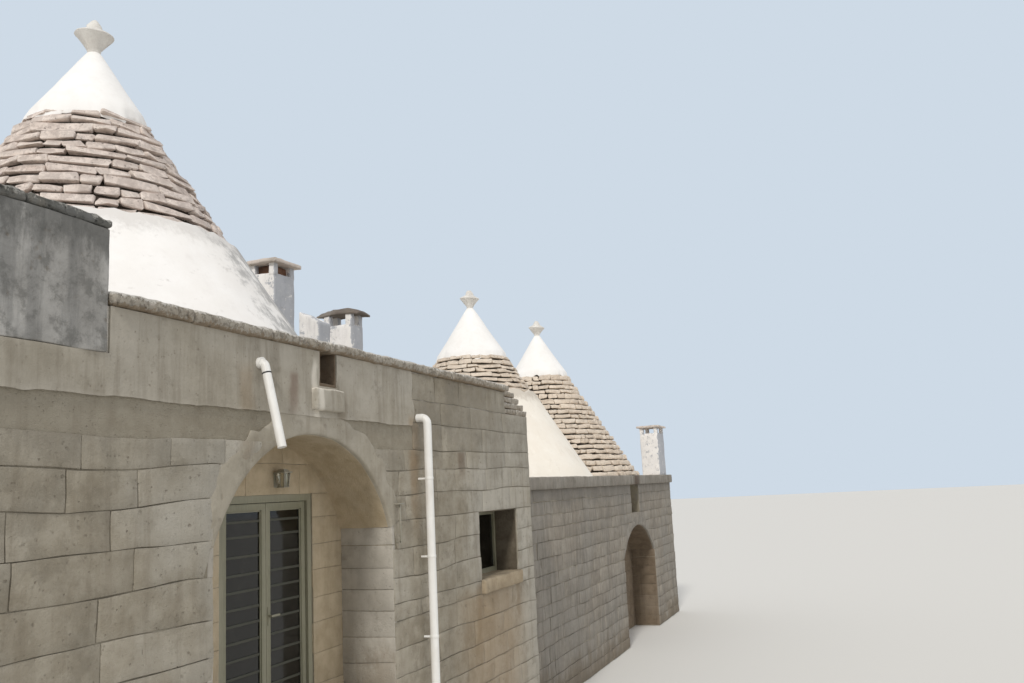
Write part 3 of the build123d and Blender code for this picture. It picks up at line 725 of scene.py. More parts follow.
pavingFinish = masonryMaterial("pavingFinish", dict(
    plainStone, base=(196, 188, 176), second=(176, 168, 156), tone=0.4, toneDark=(160, 150, 137),
    tonePale=(212, 206, 196), patchColour=(206, 202, 194), lichen=(3.0, 0.48, 0.8), lichenAmount=0.4,
    lichenColour=(136, 132, 122), edgeColour=(214, 208, 198), pitAndShadeColour=(120, 110, 98)))
sillFinish = masonryMaterial("sillFinish", dict(
    plainStone, base=(178, 162, 137), second=(158, 142, 118), tone=0, patchColour=(172, 158, 137),
    streakColour=(126, 109, 88), edgeColour=(196, 182, 160)))
print("masonry finishes ready")


def paintMaterial(name, look):
    # brushed paint: grain along the piece, chips at the edges, dust, grime streaks and painted shade in the
    # hollows
    material, tree, shader = newMaterial(name)
    places = placesOf(tree)
    brushed = noiseNode(tree, stretched(tree, places, look["stretch"]), look["scale"], 6.0, 0.6)
    cloudy = noiseNode(tree, places, 3.0, 5.0, 0.6)
    wear = useGroup(tree, wearAndShade, Amount=1.0)
    grime = useGroup(tree, rainStreaks, Start=0.5, End=0.7, Width=2.5)
    lines = stepNode(tree, brushed, 0.35, 0.65)
    shade = mixColour(tree, lines, colour(*look["base"]), colour(*look["second"]))
    shade = tinted(tree, shade, stepNode(tree, cloudy, 0.45, 0.7), 0.4, look["dust"])
    shade = tinted(tree, shade, grime["Mask"], look["grime"], look["dirtAndShade"])
    # painted shade: the hollows are darkened with the same colour as the grime streaks
    shade = tinted(tree, shade, wear["HollowShade"], 0.7, look["dirtAndShade"])
    shade = tinted(tree, shade, wear["Edge"], 0.35, look["edge"])
    setSurface(tree, shader, shade, cloudy, look["roughness"])
    setBump(tree, shader, brushed, 0.3, 0.001)
    shader.inputs["Metallic"].default_value = look.get("metal", 0.0)
    return material


joineryPaint = paintMaterial("joineryPaint", dict(
    base=(136, 134, 112), second=(122, 119, 99), dust=(148, 143, 124), dirtAndShade=(72, 66, 52),
    edge=(162, 158, 139), stretch=(30.0, 30.0, 2.0), scale=6.0, grime=0.25, roughness=(0.4, 0.62)))
pipePlastic = paintMaterial("pipePlastic", dict(
    base=(238, 237, 233), second=(230, 228, 223), dust=(218, 214, 206), dirtAndShade=(168, 160, 148),
    edge=(244, 243, 240), stretch=(6.0, 6.0, 1.0), scale=4.0, grime=0.35, roughness=(0.3, 0.5)))
sealRubber = paintMaterial("sealRubber", dict(
    base=(44, 42, 40), second=(34, 33, 32), dust=(72, 68, 62), dirtAndShade=(24, 23, 22), edge=(86, 82, 76),
    stretch=(8.0, 8.0, 8.0), scale=20.0, grime=0.2, roughness=(0.6, 0.8)))
# dark paint for the door bars: painted shade, for how dim they look seen through the pane
barShadePaint = paintMaterial("barShadePaint", dict(
    base=(66, 66, 54), second=(56, 56, 46), dust=(78, 76, 64), dirtAndShade=(40, 38, 30), edge=(84, 82, 70),
    stretch=(4.0, 20.0, 20.0), scale=6.0, grime=0.3, roughness=(0.45, 0.7)))
lanternPaint = paintMaterial("lanternPaint", dict(
    base=(150, 146, 132), second=(132, 127, 112), dust=(164, 158, 144), dirtAndShade=(82, 74, 60),
    edge=(184, 178, 164), stretch=(20.0, 20.0, 6.0), scale=8.0, grime=0.4, roughness=(0.35, 0.6), metal=0.2))


def glassMaterial(name, look):
    # tinted glass with a film of dust that settles in smears
    material, tree, shader = newMaterial(name)
    smear = noiseNode(tree, stretched(tree, placesOf(tree), (1.0, 1.0, 0.5)), 9.0, 6.0, 0.65)
    dusty = tinted(tree, colour(*look["tint"]), stepNode(tree, smear, 0.5, 0.75), 0.2, (170, 166, 152))
    setSurface(tree, shader, dusty, smear, look["roughness"])
    for label, value in (("Transmission Weight", 0.92), ("IOR", 1.45), ("Specular IOR Level", 0.06)):
        shader.inputs[label].default_value = value
    return material


# the dark tint of the door and window panes is painted shade: it stands for the dark rooms behind
paneShadeGlass = glassMaterial("paneShadeGlass", dict(tint=(54, 53, 45), roughness=(0.02, 0.1)))
lanternGlass = glassMaterial("lanternGlass", dict(tint=(212, 208, 190), roughness=(0.15, 0.4)))
print("paint and glass ready")

carriedOver = {
    leftEndFinish: ["front_wall_left", "upper_back_wall"],
    rightEndFinish: ["lower_front_right", "lower_back_wall"],
    mortarFinish: ["front_wall_middle", "front_wall_right", "wall_under_window", "wall_over_window",
                   "porch_step", "porch_arch", "lower_front_left", "lower_arch", "niche_back_left",
                   "niche_back_right", "door_lintel", "lower_niche_back"],
    wallPlaster: ["left_party_wall", "middle_party_wall", "end_party_wall", "front_parapet", "back_parapet",
                  "raised_block"],
    pavingFinish: ["upper_roof_deck", "lower_roof_deck", "upper_floor", "lower_floor"],
    joineryPaint: ["door_frame", "door_leaf_left", "door_leaf_right", "window_casement"],
    paneShadeGlass: ["door_glass_left", "door_glass_right", "window_glass"],
    pipePlastic: ["rain_pipe", "downpipe"],
}
for finish, nodeNames in carriedOver.items():
    for nodeName in nodeNames:
        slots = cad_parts[nodeName].data.materials
        slots.clear()
        slots.append(finish)

# Openings and edges that the facing keeps to
groundGap = 0.012  # the stones stop just over the ground
archRadius = 1.44
archLeft, archRight = low("porch_arch").x, high("porch_arch").x
archX = (archLeft + archRight) / 2
archHalf = (archRight - archLeft) / 2
archSpring = low("porch_arch").z
archZ = archSpring - math.sqrt(archRadius ** 2 - archHalf ** 2)
nicheBack = high("porch_arch").y
windowLeft, windowRight = low("window_casement").x, high("window_casement").x
windowTop = high("window_casement").z
sillFoot, sillTop = low("window_sill").z, high("window_sill").z
slotFromEnd, slotWidth = 4.15, 0.255
slotLeft = upperLeft + slotFromEnd
slotRight = slotLeft + slotWidth
shoulderLeft = low("stepped_shoulder").x
blockRight = high("raised_block").x
renderRight = high("downpipe").x - 0.15  # the render ends in a line just left of the downpipe
doorLeft, doorRight, doorTop = low("door_frame").x, high("door_frame").x, high("door_frame").z
lowerArchLeft, lowerArchRight = low("lower_arch").x, high("lower_arch").x
lowerSpring = low("lower_arch").z
lowerRise = 0.68
lowerHalf = (lowerArchRight - lowerArchLeft) / 2
lowerRadius = (lowerHalf ** 2 + lowerRise ** 2) / (2 * lowerRise)
lowerArchX = (lowerArchLeft + lowerArchRight) / 2
lowerArchZ = lowerSpring + lowerRise - lowerRadius
lowerNicheBack = high("lower_arch").y
wallSlotFoot = lowerTop - 0.65
wallSlot = (upperLeft + 18.05, upperLeft + 18.8, wallSlotFoot, lowerTop)
above = parapetTop + 1  # past all that stands on the front


def wallFrame(x=0, y=0, turn=0):
    return Matrix.Translation((x, y, 0)) @ Matrix.Rotation(math.radians(turn), 4, "Z")


def stonework(name, seed, look, runs, material):
    # coursed stones in one mesh; each run has its frame, ends, levels, openings and arch
    bm, tone, rng = stoneMesh(seed)
    for run in runs:
        layCourses(bm, tone, rng, look, *run)
    finishStones(bm, look)
    if "fine" in look:
        roughen(bm.verts, *look["fine"])
    addPiece(name, bm, material)


# Upper front
upperLevels = [groundGap, upperFloor, sillFoot, sillTop, windowTop, wallTop - 0.01, upperRoof, parapetTop]
upperBlocks = dict(
    height=0.27, length=(0.55, 1.0), joint=0.006, proud=0.012, uneven=0.002, depth=0.06, jitter=0.003,
    round=0.005, rough=0.011, grain=4.0, wave=0.05, still=upperLevels, phase=3, split=0.2, cuts=3,
    fine=(0.0025, 17.0))
upperGaps = [
    (archLeft, archRight, upperFloor, archSpring),
    (windowLeft, windowRight, sillFoot, windowTop),
    (upperLeft, renderRight, wallTop - 0.02, above),
    (shoulderLeft, upperRight, upperRoof, above),
]
upperArch = dict(x=archX, z=archZ, radius=archRadius + 0.02, reach=0.6, spring=archSpring)
stonework("upper_front_blocks", 11, upperBlocks, [
    (wallFrame(y=frontY), upperLeft + 0.01, upperRight - 0.01, upperLevels, upperGaps, upperArch)],
    frontBlockFinish)


def closeRims(bm):
    bmesh.ops.holes_fill(bm, edges=[edge for edge in bm.edges if edge.is_boundary])


def archBand(name, outline, centreX, centreZ, reach, material, ragged=0.0):
    # a coat of plaster that follows an arch, spun from its section of (radius, y) points
    bm = bmesh.new()
    start = Matrix.Rotation(-reach, 3, "Y")
    verts = []
    for radius, y in outline:
        verts.append(bm.verts.new(Vector((centreX, y, centreZ)) + start @ Vector((0, 0, radius))))
    edges = [bm.edges.new(pair) for pair in zip(verts, verts[1:] + verts[:1])]
    bmesh.ops.spin(bm, geom=verts + edges, cent=(centreX, 0, centreZ), axis=(0, 1, 0), angle=2 * reach,
                   steps=84, use_duplicate=False)
    closeRims(bm)
    inner = min(radius for radius, y in outline) + 0.03
    outer = max(radius for radius, y in outline)
    for vert in bm.verts:
        away = vert.co - Vector((centreX, vert.co.y, centreZ))
        share = max(0.0, (away.length - inner) / (outer - inner))
        turn = abs(math.atan2(away.x, away.z)) / reach
        lap = noise.noise(away * 2.2) + 0.5 * noise.noise(away * 8.0) - 0.8 * turn ** 3
        vert.co += away.normalized() * lap * ragged * share
    roughen(bm.verts, 0.006, 3.5)
    roughen(bm.verts, 0.002, 14.0)
    addPiece(name, bm, material, sharpAngle=60)


def plasterArch(name, centreX, centreZ, radius, halfWidth, face, back, ring, rimFinish, soffitFinish):
    # the smooth rim on the front of an arch and the coat of its underside
    reach = math.asin(halfWidth / radius)
    coat = 0.015
    bed = 0.02
    rim = [(radius + ring, face + bed), (radius + ring, face - 0.006)]
    rim += [(radius + ring * (1 - step / 6), face - coat) for step in range(1, 6)]
    rim += [(radius + 0.012, face - coat), (radius - 0.004, face - 0.010), (radius - 0.010, face + 0.004),
            (radius - 0.010, face + 0.05), (radius + bed, face + 0.05), (radius + 0.04, face + bed)]
    archBand(name + "_rim", rim, centreX, centreZ, reach, rimFinish, ring * 0.5)
    start = face + 0.03
    soffit = [(radius - 0.013, start + (back - face - 0.03) * step / 9) for step in range(10)]
    soffit += [(radius + 0.03, back), (radius + 0.03, start)]
    archBand(name + "_soffit", soffit, centreX, centreZ, reach, soffitFinish)


jambLook = dict(
    height=0.22, length=(0.55, 0.75), joint=0.004, proud=0.008, uneven=0.003, depth=0.05, jitter=0.003,
    round=0.008, rough=0.006, grain=4.0, wave=0.03, phase=7, split=0.2)
backLook = dict(
    height=0.27, length=(0.7, 1.1), joint=0.003, proud=0.006, uneven=0.001, depth=0.04, jitter=0.001,
    round=0.004, rough=0.005, grain=3.5, wave=0.02, phase=5)


def nicheJambs(name, left, right, face, back, floor, spring, material):
    levels = [floor, spring]
    edge = face - jambLook["proud"]
    stonework(name, 29, dict(jambLook, still=levels), [
        (wallFrame(x=left, turn=90), edge, back, levels),
        (wallFrame(x=right, turn=-90), -back, -edge, levels)], material)


def nicheCoat(name, left, right, back, levels, gaps, material):
    stonework(name, 23, dict(backLook, still=levels), [(wallFrame(y=back), left, right, levels, gaps)],
              material)


plasterArch("porch", archX, archZ, archRadius, archHalf, frontY, nicheBack, 0.25, archFinish, nicheFinish)
nicheJambs("porch_jambs", archLeft, archRight, frontY, nicheBack, upperFloor, archSpring + 0.02, jambFinish)
nicheCoat("porch_niche_back", archLeft, archRight, nicheBack,
          [upperFloor, doorTop, archZ + archRadius + 0.05], [(doorLeft, doorRight, upperFloor, doorTop)],
          nicheFinish)
print("upper front laid")

# Lower front
lowerLevels = [groundGap, lowerSpring, wallSlotFoot, lowerTop]
lowerBlocks = dict(
    height=0.23, length=(0.3, 0.7), joint=0.006, proud=0.014, uneven=0.005, depth=0.07, jitter=0.006,
    round=0.012, rough=0.012, grain=6.0, wave=0.03, phase=9, still=[0] + lowerLevels[1:])
lowerGaps = [(lowerArchLeft, lowerArchRight, 0, lowerSpring), wallSlot]
lowerArch = dict(x=lowerArchX, z=lowerArchZ, radius=lowerRadius + 0.02, reach=0.6, spring=lowerSpring)
stonework("lower_front_blocks", 31, lowerBlocks, [
    (wallFrame(y=lowerY), upperRight + 0.01, lowerRight - 0.01, lowerLevels, lowerGaps, lowerArch)],
    lowerBlockFinish)
plasterArch("lower", lowerArchX, lowerArchZ, lowerRadius, lowerHalf, lowerY, lowerNicheBack, 0.2, eaveFinish,
            lowerNicheShadeFinish)
nicheJambs("lower_jambs", lowerArchLeft, lowerArchRight, lowerY, lowerNicheBack, groundGap,
           lowerSpring + 0.02, lowerNicheShadeFinish)
nicheCoat("lower_niche_back_coat", lowerArchLeft, lowerArchRight, lowerNicheBack,
          [groundGap, lowerSpring, lowerSpring + lowerRise + 0.05], [], lowerNicheShadeFinish)

# weathered plaster on the front and end of the projecting roof deck
eaveStart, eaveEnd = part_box("lower_roof_deck")
plasterPiece("eave_coat", Vector((eaveStart.x + 0.01, eaveStart.y - 0.012, eaveStart.z - 0.004)),
             Vector((eaveEnd.x - 0.002, eaveStart.y + 0.05, eaveEnd.z + 0.004)),
             dict(cell=0.09, rough=0.006, grain=5.0, round=0.02, fine=(0.004, 15.0)), eaveFinish)
print("lower front laid")

# Back walls and the end of the upper house over the lower one
backBlocks = dict(
    height=0.25, length=(0.35, 0.7), joint=0.014, proud=0.012, uneven=0.005, depth=0.06, jitter=0.007,
    round=0.012, rough=0.01, grain=8.0, segments=1)
stonework("back_blocks", 41, backBlocks, [
    (wallFrame(y=backY, turn=180), -upperRight + 0.01, -upperLeft - 0.01,
     [groundGap, wallTop, upperRoof, parapetTop]),
    (wallFrame(y=lowerBackY, turn=180), -lowerRight + 0.01, -upperRight - 0.01, [groundGap, lowerTop]),
    (wallFrame(x=upperRight, turn=90), frontY + 0.02, lowerY, [groundGap, lowerTop])], lowerBlockFinish)

# Cones
neck = 0.075  # radius where a cap ends and its pinnacle stands
coneLook = dict(slope=1.55, apex=high("cone_cap").z + neck * 1.55)
twinLook = dict(slope=1.58, apex=high("twin_caps").z + neck * 1.58)


def coneRadius(cone, height):
    return (cone["apex"] - height) / cone["slope"]


def waveAt(angle, look):
    # courses rise and dip a little round the cone
    return look["wave"] * (math.sin(angle * 2 + look["seed"]) + 0.6 * math.sin(angle * 5 + 2 * look["seed"]))


def layConeStone(bm, tone, rng, centre, middle, radius, half, lean, z0, z1, foot, top, look):
    # one flat irregular slab with its own height, tilt and stand
    out = Vector((math.cos(middle), math.sin(middle), 0))
    side = Vector((-math.sin(middle), math.cos(middle), 0))
    made = bmesh.ops.create_cube(bm, size=1.0)["verts"]
    shade = rng.random()
    stand = rng.uniform(-1, 1) * look["uneven"]
    drop = rng.uniform(0, 1) * look["drop"]
    rise = rng.uniform(0, 1) * look["drop"] * 0.4
    tilt = rng.uniform(-1, 1) * look["tilt"]
    skew = rng.uniform(-1, 1) * 0.012
    for vert in made:
        outside = vert.co.y < 0
        upper = vert.co.z > 0
        way = 1 if vert.co.x > 0 else -1
        along = half * way * (1 if outside else 0.8) + (skew if upper else -skew)
        deep = -stand + (lean if upper and outside else 0) if outside else look["depth"]
        bulge = (half ** 2) / (2 * radius) if outside else 0
        z = (z1 - look["joint"] / 2 - drop if upper else z0 + look["joint"] / 2 + rise)
        z += along * tilt + waveAt(middle, look) * min(1, (z1 - foot) / 0.3) * min(1, (top - z0) / 0.3)
        local = Vector((along, deep + bulge * 0.5, z))
        local += Vector((rng.uniform(-1, 1), rng.uniform(-1, 1), rng.uniform(-0.5, 0.5))) * look["jitter"]
        flat = centre + out * (radius - local.y) + side * local.x
        vert.co = Vector((flat.x, flat.y, local.z))
    for face in dict.fromkeys(item for vert in made for item in vert.link_faces):
        face[tone] = shade


def coneStones(name, centreX, centreY, cone, foot, top, look, standsFor, material, leftEnd=None):
    # rings of slabs, each course with its own count
    bm, tone, rng = stoneMesh(look["seed"])
    centre = Vector((centreX, centreY, 0))
    for z0, z1 in pairsOf(courseLines(rng, [foot, top], look["height"])):
        radius = coneRadius(cone, (z0 + z1) / 2) + look["proud"]
        count = max(7, round(math.tau * radius / rng.uniform(*look["length"])))
        parts = [rng.uniform(0.5, 1.5) for step in range(count)]
        angle = rng.random() * math.tau
        lean = (z1 - z0) / cone["slope"] * look["lean"]
        for part in parts:
            turn = math.tau * part / sum(parts)
            middle = angle + turn / 2
            angle += turn
            if leftEnd is None or centreX + math.cos(middle) * radius > leftEnd:
                half = (turn * radius - look["joint"]) / 2
                layConeStone(bm, tone, rng, centre, middle, radius, half, lean, z0, z1, foot, top, look)
    long = [edge for edge in bm.edges if 0.2 < edge.calc_length() < 1.2
            and abs(edge.verts[0].co.z - edge.verts[1].co.z) < 0.05]
    bmesh.ops.subdivide_edges(bm, edges=long, cuts=1, use_grid_fill=True)
    roundEdges(bm, look["round"], 2, sharpEdges(bm))
    roughen(bm.verts, look["rough"], look["grain"])
    roughen(bm.verts, look["rough"] * 0.7, look["grain"] * 3.1)
    addPiece(name, bm, material, standsFor=standsFor, sharpAngle=60)


def shadedConeCore(name, centreX, centreY, cone, foot, top, inset):
    # a dark ring behind the slabs, seen in the gaps between them: painted shade
    bm = bmesh.new()
    wide = coneRadius(cone, foot) - inset
    narrow = coneRadius(cone, top) - inset
    thick = 0.1
    outline = [(wide, foot), (narrow, top), (narrow - thick, top), (wide - thick, foot)]
    turnedRing(bm, outline, centreX, centreY, 64)
    addPiece(name, bm, gapShadeFinish)


stoneFoot = low("cone_stones").z
capFoot = low("cone_cap").z
largeStones = dict(
    seed=5, height=0.112, length=(0.26, 0.44), joint=0.014, proud=0.002, uneven=0.022, tilt=0.045,
    jitter=0.012, depth=0.22, round=0.022, rough=0.020, grain=10.0, wave=0.014, lean=0.62, drop=0.028)
coneStones("cone_slabs", coneX, coneY, coneLook, stoneFoot, capFoot, largeStones, ["cone_stones"],
           roofStoneFinish)
shadedConeCore("cone_gap_shade", coneX, coneY, coneLook, stoneFoot, capFoot, 0.1)

twinFoot = low("first_cone_stones").z
twinCapFoot = low("twin_caps").z
firstStones = dict(largeStones, seed=8, height=0.1, length=(0.24, 0.4), round=0.02, wave=0.008, uneven=0.018,
                   drop=0.02)
coneStones("first_cone_slabs", firstX, twinY, twinLook, twinFoot, twinCapFoot, firstStones,
           ["first_cone_stones"], twinStoneFinish)
shadedConeCore("first_cone_gap_shade", firstX, twinY, twinLook, twinFoot, twinCapFoot, 0.09)
secondStones = dict(firstStones, seed=13, proud=-0.02, height=0.13, length=(0.22, 0.4), wave=0.006, lean=0.3,
                    round=0.024)
valleyX = (firstX + secondX) / 2
coneStones("second_cone_slabs", secondX, twinY, twinLook, lowerRoof, twinCapFoot, secondStones,
           ["second_cone_stones"], twinStoneFinish, leftEnd=valleyX - 0.25)
shadedConeCore("second_cone_gap_shade", secondX, twinY, twinLook, lowerRoof, twinCapFoot, 0.12)
print("cone slabs laid")


def spokeOf(vert, centreX, centreY):
    # from the upright axis of a cone out to a vertex, level
    return Vector((vert.co.x - centreX, vert.co.y - centreY, 0))


def plasterCone(name, centreX, centreY, cone, foot, top, look, standsFor, material):
    # a hand-laid plaster coat, smeared in a ragged edge over the first course of slabs
    bm = bmesh.new()
    rows = max(4, round((top - foot) / 0.07))
    outline = []
    for row in range(rows + 1):
        z = foot + (top - foot) * row / rows
        outline.append((coneRadius(cone, z) + look["swell"] * math.sin(math.pi * row / rows), z))
    outline += [(coneRadius(cone, top) - 0.012, top + 0.012), (coneRadius(cone, top) - look["thick"], top),
                (coneRadius(cone, foot) - look["thick"], foot)]
    turnedRing(bm, outline, centreX, centreY, look["steps"])
    for vert in bm.verts:
        if vert.co.z < foot + 0.01:
            continue
        away = spokeOf(vert, centreX, centreY)
        share = max(0.0, ((vert.co.z - foot) / (top - foot) - 0.8) * 5)
        direction = away.normalized()
        gentle = noise.noise(vert.co * 0.9 + Vector((3, 1, 7))) * look["gentle"]
        small = noise.noise(vert.co * 4.0) * look["small"] + noise.noise(vert.co * 13.0) * look["small"] * 0.4
        edge = noise.noise(direction * 3.2 + Vector((centreX, 0, 0))) + 0.55 * noise.noise(direction * 11.0)
        if away.length > coneRadius(cone, vert.co.z) - look["thick"] * 0.5:
            ragged = edge * look["edge"] / cone["slope"]
            vert.co += direction * (gentle + small + 0.016 * share - ragged * share)
        vert.co.z += edge * look["edge"] * share
    addPiece(name, bm, material, standsFor=standsFor, sharpAngle=50)


plasterLook = dict(steps=144, swell=0.02, thick=0.3, gentle=0.035, small=0.008, edge=0.07)
plasterCone("cone_plaster", coneX, coneY, coneLook, upperRoof, stoneFoot + 0.035, plasterLook, ["cone_base"],
            conePlaster)
plasterCone("first_cone_plaster", firstX, twinY, twinLook, lowerRoof, twinFoot + 0.02,
            dict(plasterLook, swell=0.0, gentle=0.02), ["first_cone_base"], twinPlaster)


def coneCaps(name, places, cone, foot, look, standsFor):
    # smooth white caps, pressed in a ragged edge on the top course of slabs, drawn out to the neck
    bm = bmesh.new()
    top = cone["apex"] - neck * cone["slope"]
    lip = coneRadius(cone, foot)
    tucked = foot - look["tuck"]
    outline = [(0.0, foot), (lip - 0.14, foot - 0.03), (lip - 0.03, tucked - 0.01)]
    for row in range(look["rows"] + 1):
        share = row / look["rows"]
        z = tucked + (top - tucked) * share
        belly = math.sin(math.pi * share) * look["belly"] + look["flare"] * math.exp(-(1 - share) / 0.05)
        sunk = look["sunk"] * max(0.0, 1 - (z - tucked) / (look["tuck"] + 0.1))
        outline.append((coneRadius(cone, z) + look["proud"] * (1 - share) + belly - sunk, z))
    outline.append((0.0, top))
    for centreX, centreY in places:
        part = bmesh.new()
        turnedRing(part, outline, centreX, centreY, 112, closed=False)
        for vert in part.verts:
            away = spokeOf(vert, centreX, centreY)
            if away.length > 0.06:
                direction = away.normalized()
                lap = 0
                for scale, seed, share in ((1.7, 5, 1), (7.0, 9, 0.45), (19.0, 2, 0.2)):
                    lap += noise.noise(direction * scale + Vector((centreX, seed, 0))) * look["lap"] * share
                near = max(0.0, 1 - (vert.co.z - foot) / 0.3)
                full = min(1, away.length / 0.3)
                vert.co.z += lap * near
                vert.co += direction * -lap / cone["slope"] * near
                vert.co += direction * noise.noise(vert.co * 2.2) * look["gentle"] * full
                vert.co += direction * noise.noise(vert.co * 8.0) * 0.004 * full
            vert.co.x += look["lean"] * max(0.0, (vert.co.z - foot) / (top - foot))
        pour(part, bm)
    addPiece(name, bm, capFinish, standsFor=standsFor, sharpAngle=60)


capLook = dict(rows=22, proud=0.012, belly=-0.012, flare=-0.008, lap=0.1, gentle=0.012, lean=0.028, tuck=0.05,
               sunk=0.07)
twinPlaces = [(firstX, twinY), (secondX, twinY)]
coneCaps("cone_cap_plaster", [(coneX, coneY)], coneLook, capFoot, capLook, ["cone_cap"])
coneCaps("twin_cap_plaster", twinPlaces, twinLook, twinCapFoot, dict(capLook, lean=0.0), ["twin_caps"])


def pinnacles(name, places, node):
    # a disc that flares from the neck to a thin rim, a low crown and a rough conical knob
    foot = low(node).z
    top = foot + (high(node).z - foot) - 0.001
    section = (
        (0.0, -0.02), (0.072, -0.02), (0.067, 0.012), (0.078, 0.045), (0.120, 0.105), (0.165, 0.162),
        (0.198, 0.199), (0.204, 0.208), (0.200, 0.218), (0.174, 0.234), (0.132, 0.258), (0.094, 0.278),
        (0.082, 0.292), (0.078, 0.318), (0.062, 0.348))
    outline = [(radius, foot + rise) for radius, rise in section] + [(0.036, top - 0.005), (0.0, top)]
    rimFoot, rimTop, crown = 0.17, 0.27, 0.28
    bm = bmesh.new()
    for centreX, centreY in places:
        part = bmesh.new()
        turnedRing(part, outline, centreX, centreY, 48, closed=False)
        for vert in part.verts:
            away = spokeOf(vert, centreX, centreY)
            rise = vert.co.z - foot
            if away.length > 0.02:
                vert.co += away.normalized() * noise.noise(vert.co * 11.0) * 0.009
                if rimFoot < rise < rimTop:
                    vert.co -= away.normalized() * max(0, noise.noise(away.normalized() * 3.0)) * 0.012
            if rise > crown:
                vert.co += noise.noise_vector(vert.co * 17.0) * 0.009
            tilt = away.x * 0.03 + away.y * 0.09
            vert.co.z = min(vert.co.z + tilt * min(1, rise / 0.2), top)
        pour(part, bm)
    addPiece(name, bm, pinnacleFinish, standsFor=[node], sharpAngle=40)


pinnacles("cone_finial", [(coneX + capLook["lean"], coneY)], "cone_pinnacle")
pinnacles("twin_finials", twinPlaces, "twin_pinnacles")
print("cones closed")


# Roof edges
def copingStones(name, node, material, look):
    bm, tone, rng = stoneMesh(look["seed"])
    start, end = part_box(node)
    start.x += look["inset"]
    end -= Vector((look["inset"], look["inset"] * 1.5, 0))
    length = end.x - start.x
    parts = [rng.uniform(0.7, 1.3) for step in range(round(length / look["length"]))]
    x = start.x
    for part in parts:
        width = length * part / sum(parts)
        lift = rng.uniform(-1, 0) * look["uneven"]
        a = Vector((x + look["joint"] / 2, start.y + rng.uniform(0.2, 1) * look["edge"], start.z))
        b = Vector((x + width - look["joint"] / 2, end.y - rng.uniform(0.2, 1) * look["edge"], end.z + lift))
        layStone(bm, tone, rng, a, b, Matrix.Identity(4), look["jitter"])
        x += width
    long = [edge for edge in bm.edges if edge.calc_length() > 0.25]
    bmesh.ops.subdivide_edges(bm, edges=long, cuts=look["cuts"], use_grid_fill=True)
    roundEdges(bm, look["round"], 3, sharpEdges(bm))
    for vert in bm.verts:
        # broken upper edge and a lip that hangs a little unevenly
        upper = max(0.0, (vert.co.z - start.z) / (end.z - start.z) - 0.4)
        chip = max(0.0, noise.noise(vert.co * 13.0)) + 0.7 * max(0.0, noise.noise(vert.co * 37.0))
        vert.co.z -= chip * look["broken"] * upper
        vert.co.y += waver(vert.co.x * 1.1, look["seed"], 0) * 0.012
        vert.co.z += waver(vert.co.x * 0.8, look["seed"], 4) * 0.01
    roughen(bm.verts, look["rough"], 10.0)
    roughen(bm.verts, look["rough"] * 0.5, 31.0)
    addPiece(name, bm, material, standsFor=[node])


copingLook = dict(inset=0.008, seed=3, length=0.85, joint=0.003, edge=0.008, uneven=0.004, jitter=0.003,
                  round=0.03, rough=0.008, cuts=9, broken=0.03)
blockCopingLook = dict(copingLook, seed=4, length=0.6, round=0.026, rough=0.012, broken=0.05)
copingStones("front_coping_stones", "front_coping", copingFinish, copingLook)
copingStones("block_coping_stones", "block_coping", mossyFinish, blockCopingLook)
copingStones("back_coping_stones", "back_coping", copingFinish, dict(copingLook, seed=6))


def parapetRender():
    # later render over the top of the upper front: courses show through, and it ends in a ragged ledge
    look = dict(thick=0.02, cell=0.035, ledge=0.014, seed=9.0, lap=0.05, ghostLine=0.25, ghost=0.006)
    foot = wallTop - look["lap"]
    height = parapetTop - foot
    bm = bmesh.new()
    width = renderRight - upperLeft - 0.01
    place = Matrix.Translation((upperLeft + 0.005 + width / 2, frontY - look["thick"], foot + height / 2))
    place = place @ Matrix.Rotation(math.pi / 2, 4, "X") @ Matrix.Diagonal((width, height, 1, 1))
    bmesh.ops.create_grid(bm, x_segments=round((renderRight - upperLeft) / look["cell"]),
                          y_segments=round(height / look["cell"]), size=0.5, matrix=place)
    apart = []
    for face in bm.faces:
        spot = face.calc_center_median()
        if spot.z > upperRoof and (slotLeft < spot.x < slotRight or spot.x < blockRight + 0.01):
            apart.append(face)
    bmesh.ops.delete(bm, geom=apart, context="FACES")
    for vert in bm.verts:
        bottom = max(0.0, 1 - (vert.co.z - foot) / 0.16)
        ragged = waver(vert.co.x * 2.3, look["seed"], 0) + 0.6 * waver(vert.co.x * 9, look["seed"], 0)
        line = wallTop + look["ghostLine"] + waver(vert.co.x * 0.9, 2, 0) * 0.05
        ghost = math.exp(-((vert.co.z - line) / 0.03) ** 2) * (0.5 + noise.noise(vert.co * 1.7))
        uneven = noise.noise(vert.co * 1.4) * 0.010 + noise.noise(vert.co * 6) * 0.003
        vert.co.y += uneven + ghost * look["ghost"]
        vert.co.z += ragged * look["ledge"] * bottom
        right = max(0.0, (vert.co.x - renderRight + 0.25) / 0.25)
        vert.co.x += waver(0, look["seed"], vert.co.z * 4) * 0.08 * right
    rim = [edge for edge in bm.edges if edge.is_boundary]
    for item in bmesh.ops.extrude_edge_only(bm, edges=rim)["geom"]:
        if isinstance(item, bmesh.types.BMVert):
            item.co.y = frontY + 0.01
    addPiece("parapet_render", bm, renderFinish, sharpAngle=50)


parapetRender()
start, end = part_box("raised_block")
plasterPiece("raised_block_plaster", start + Vector((0.009, -0.022, -0.012)), end,
             dict(cell=0.06, rough=0.008, grain=3.0, round=0.008, fine=(0.004, 12.0)), blockPlaster,
             ["raised_block"])


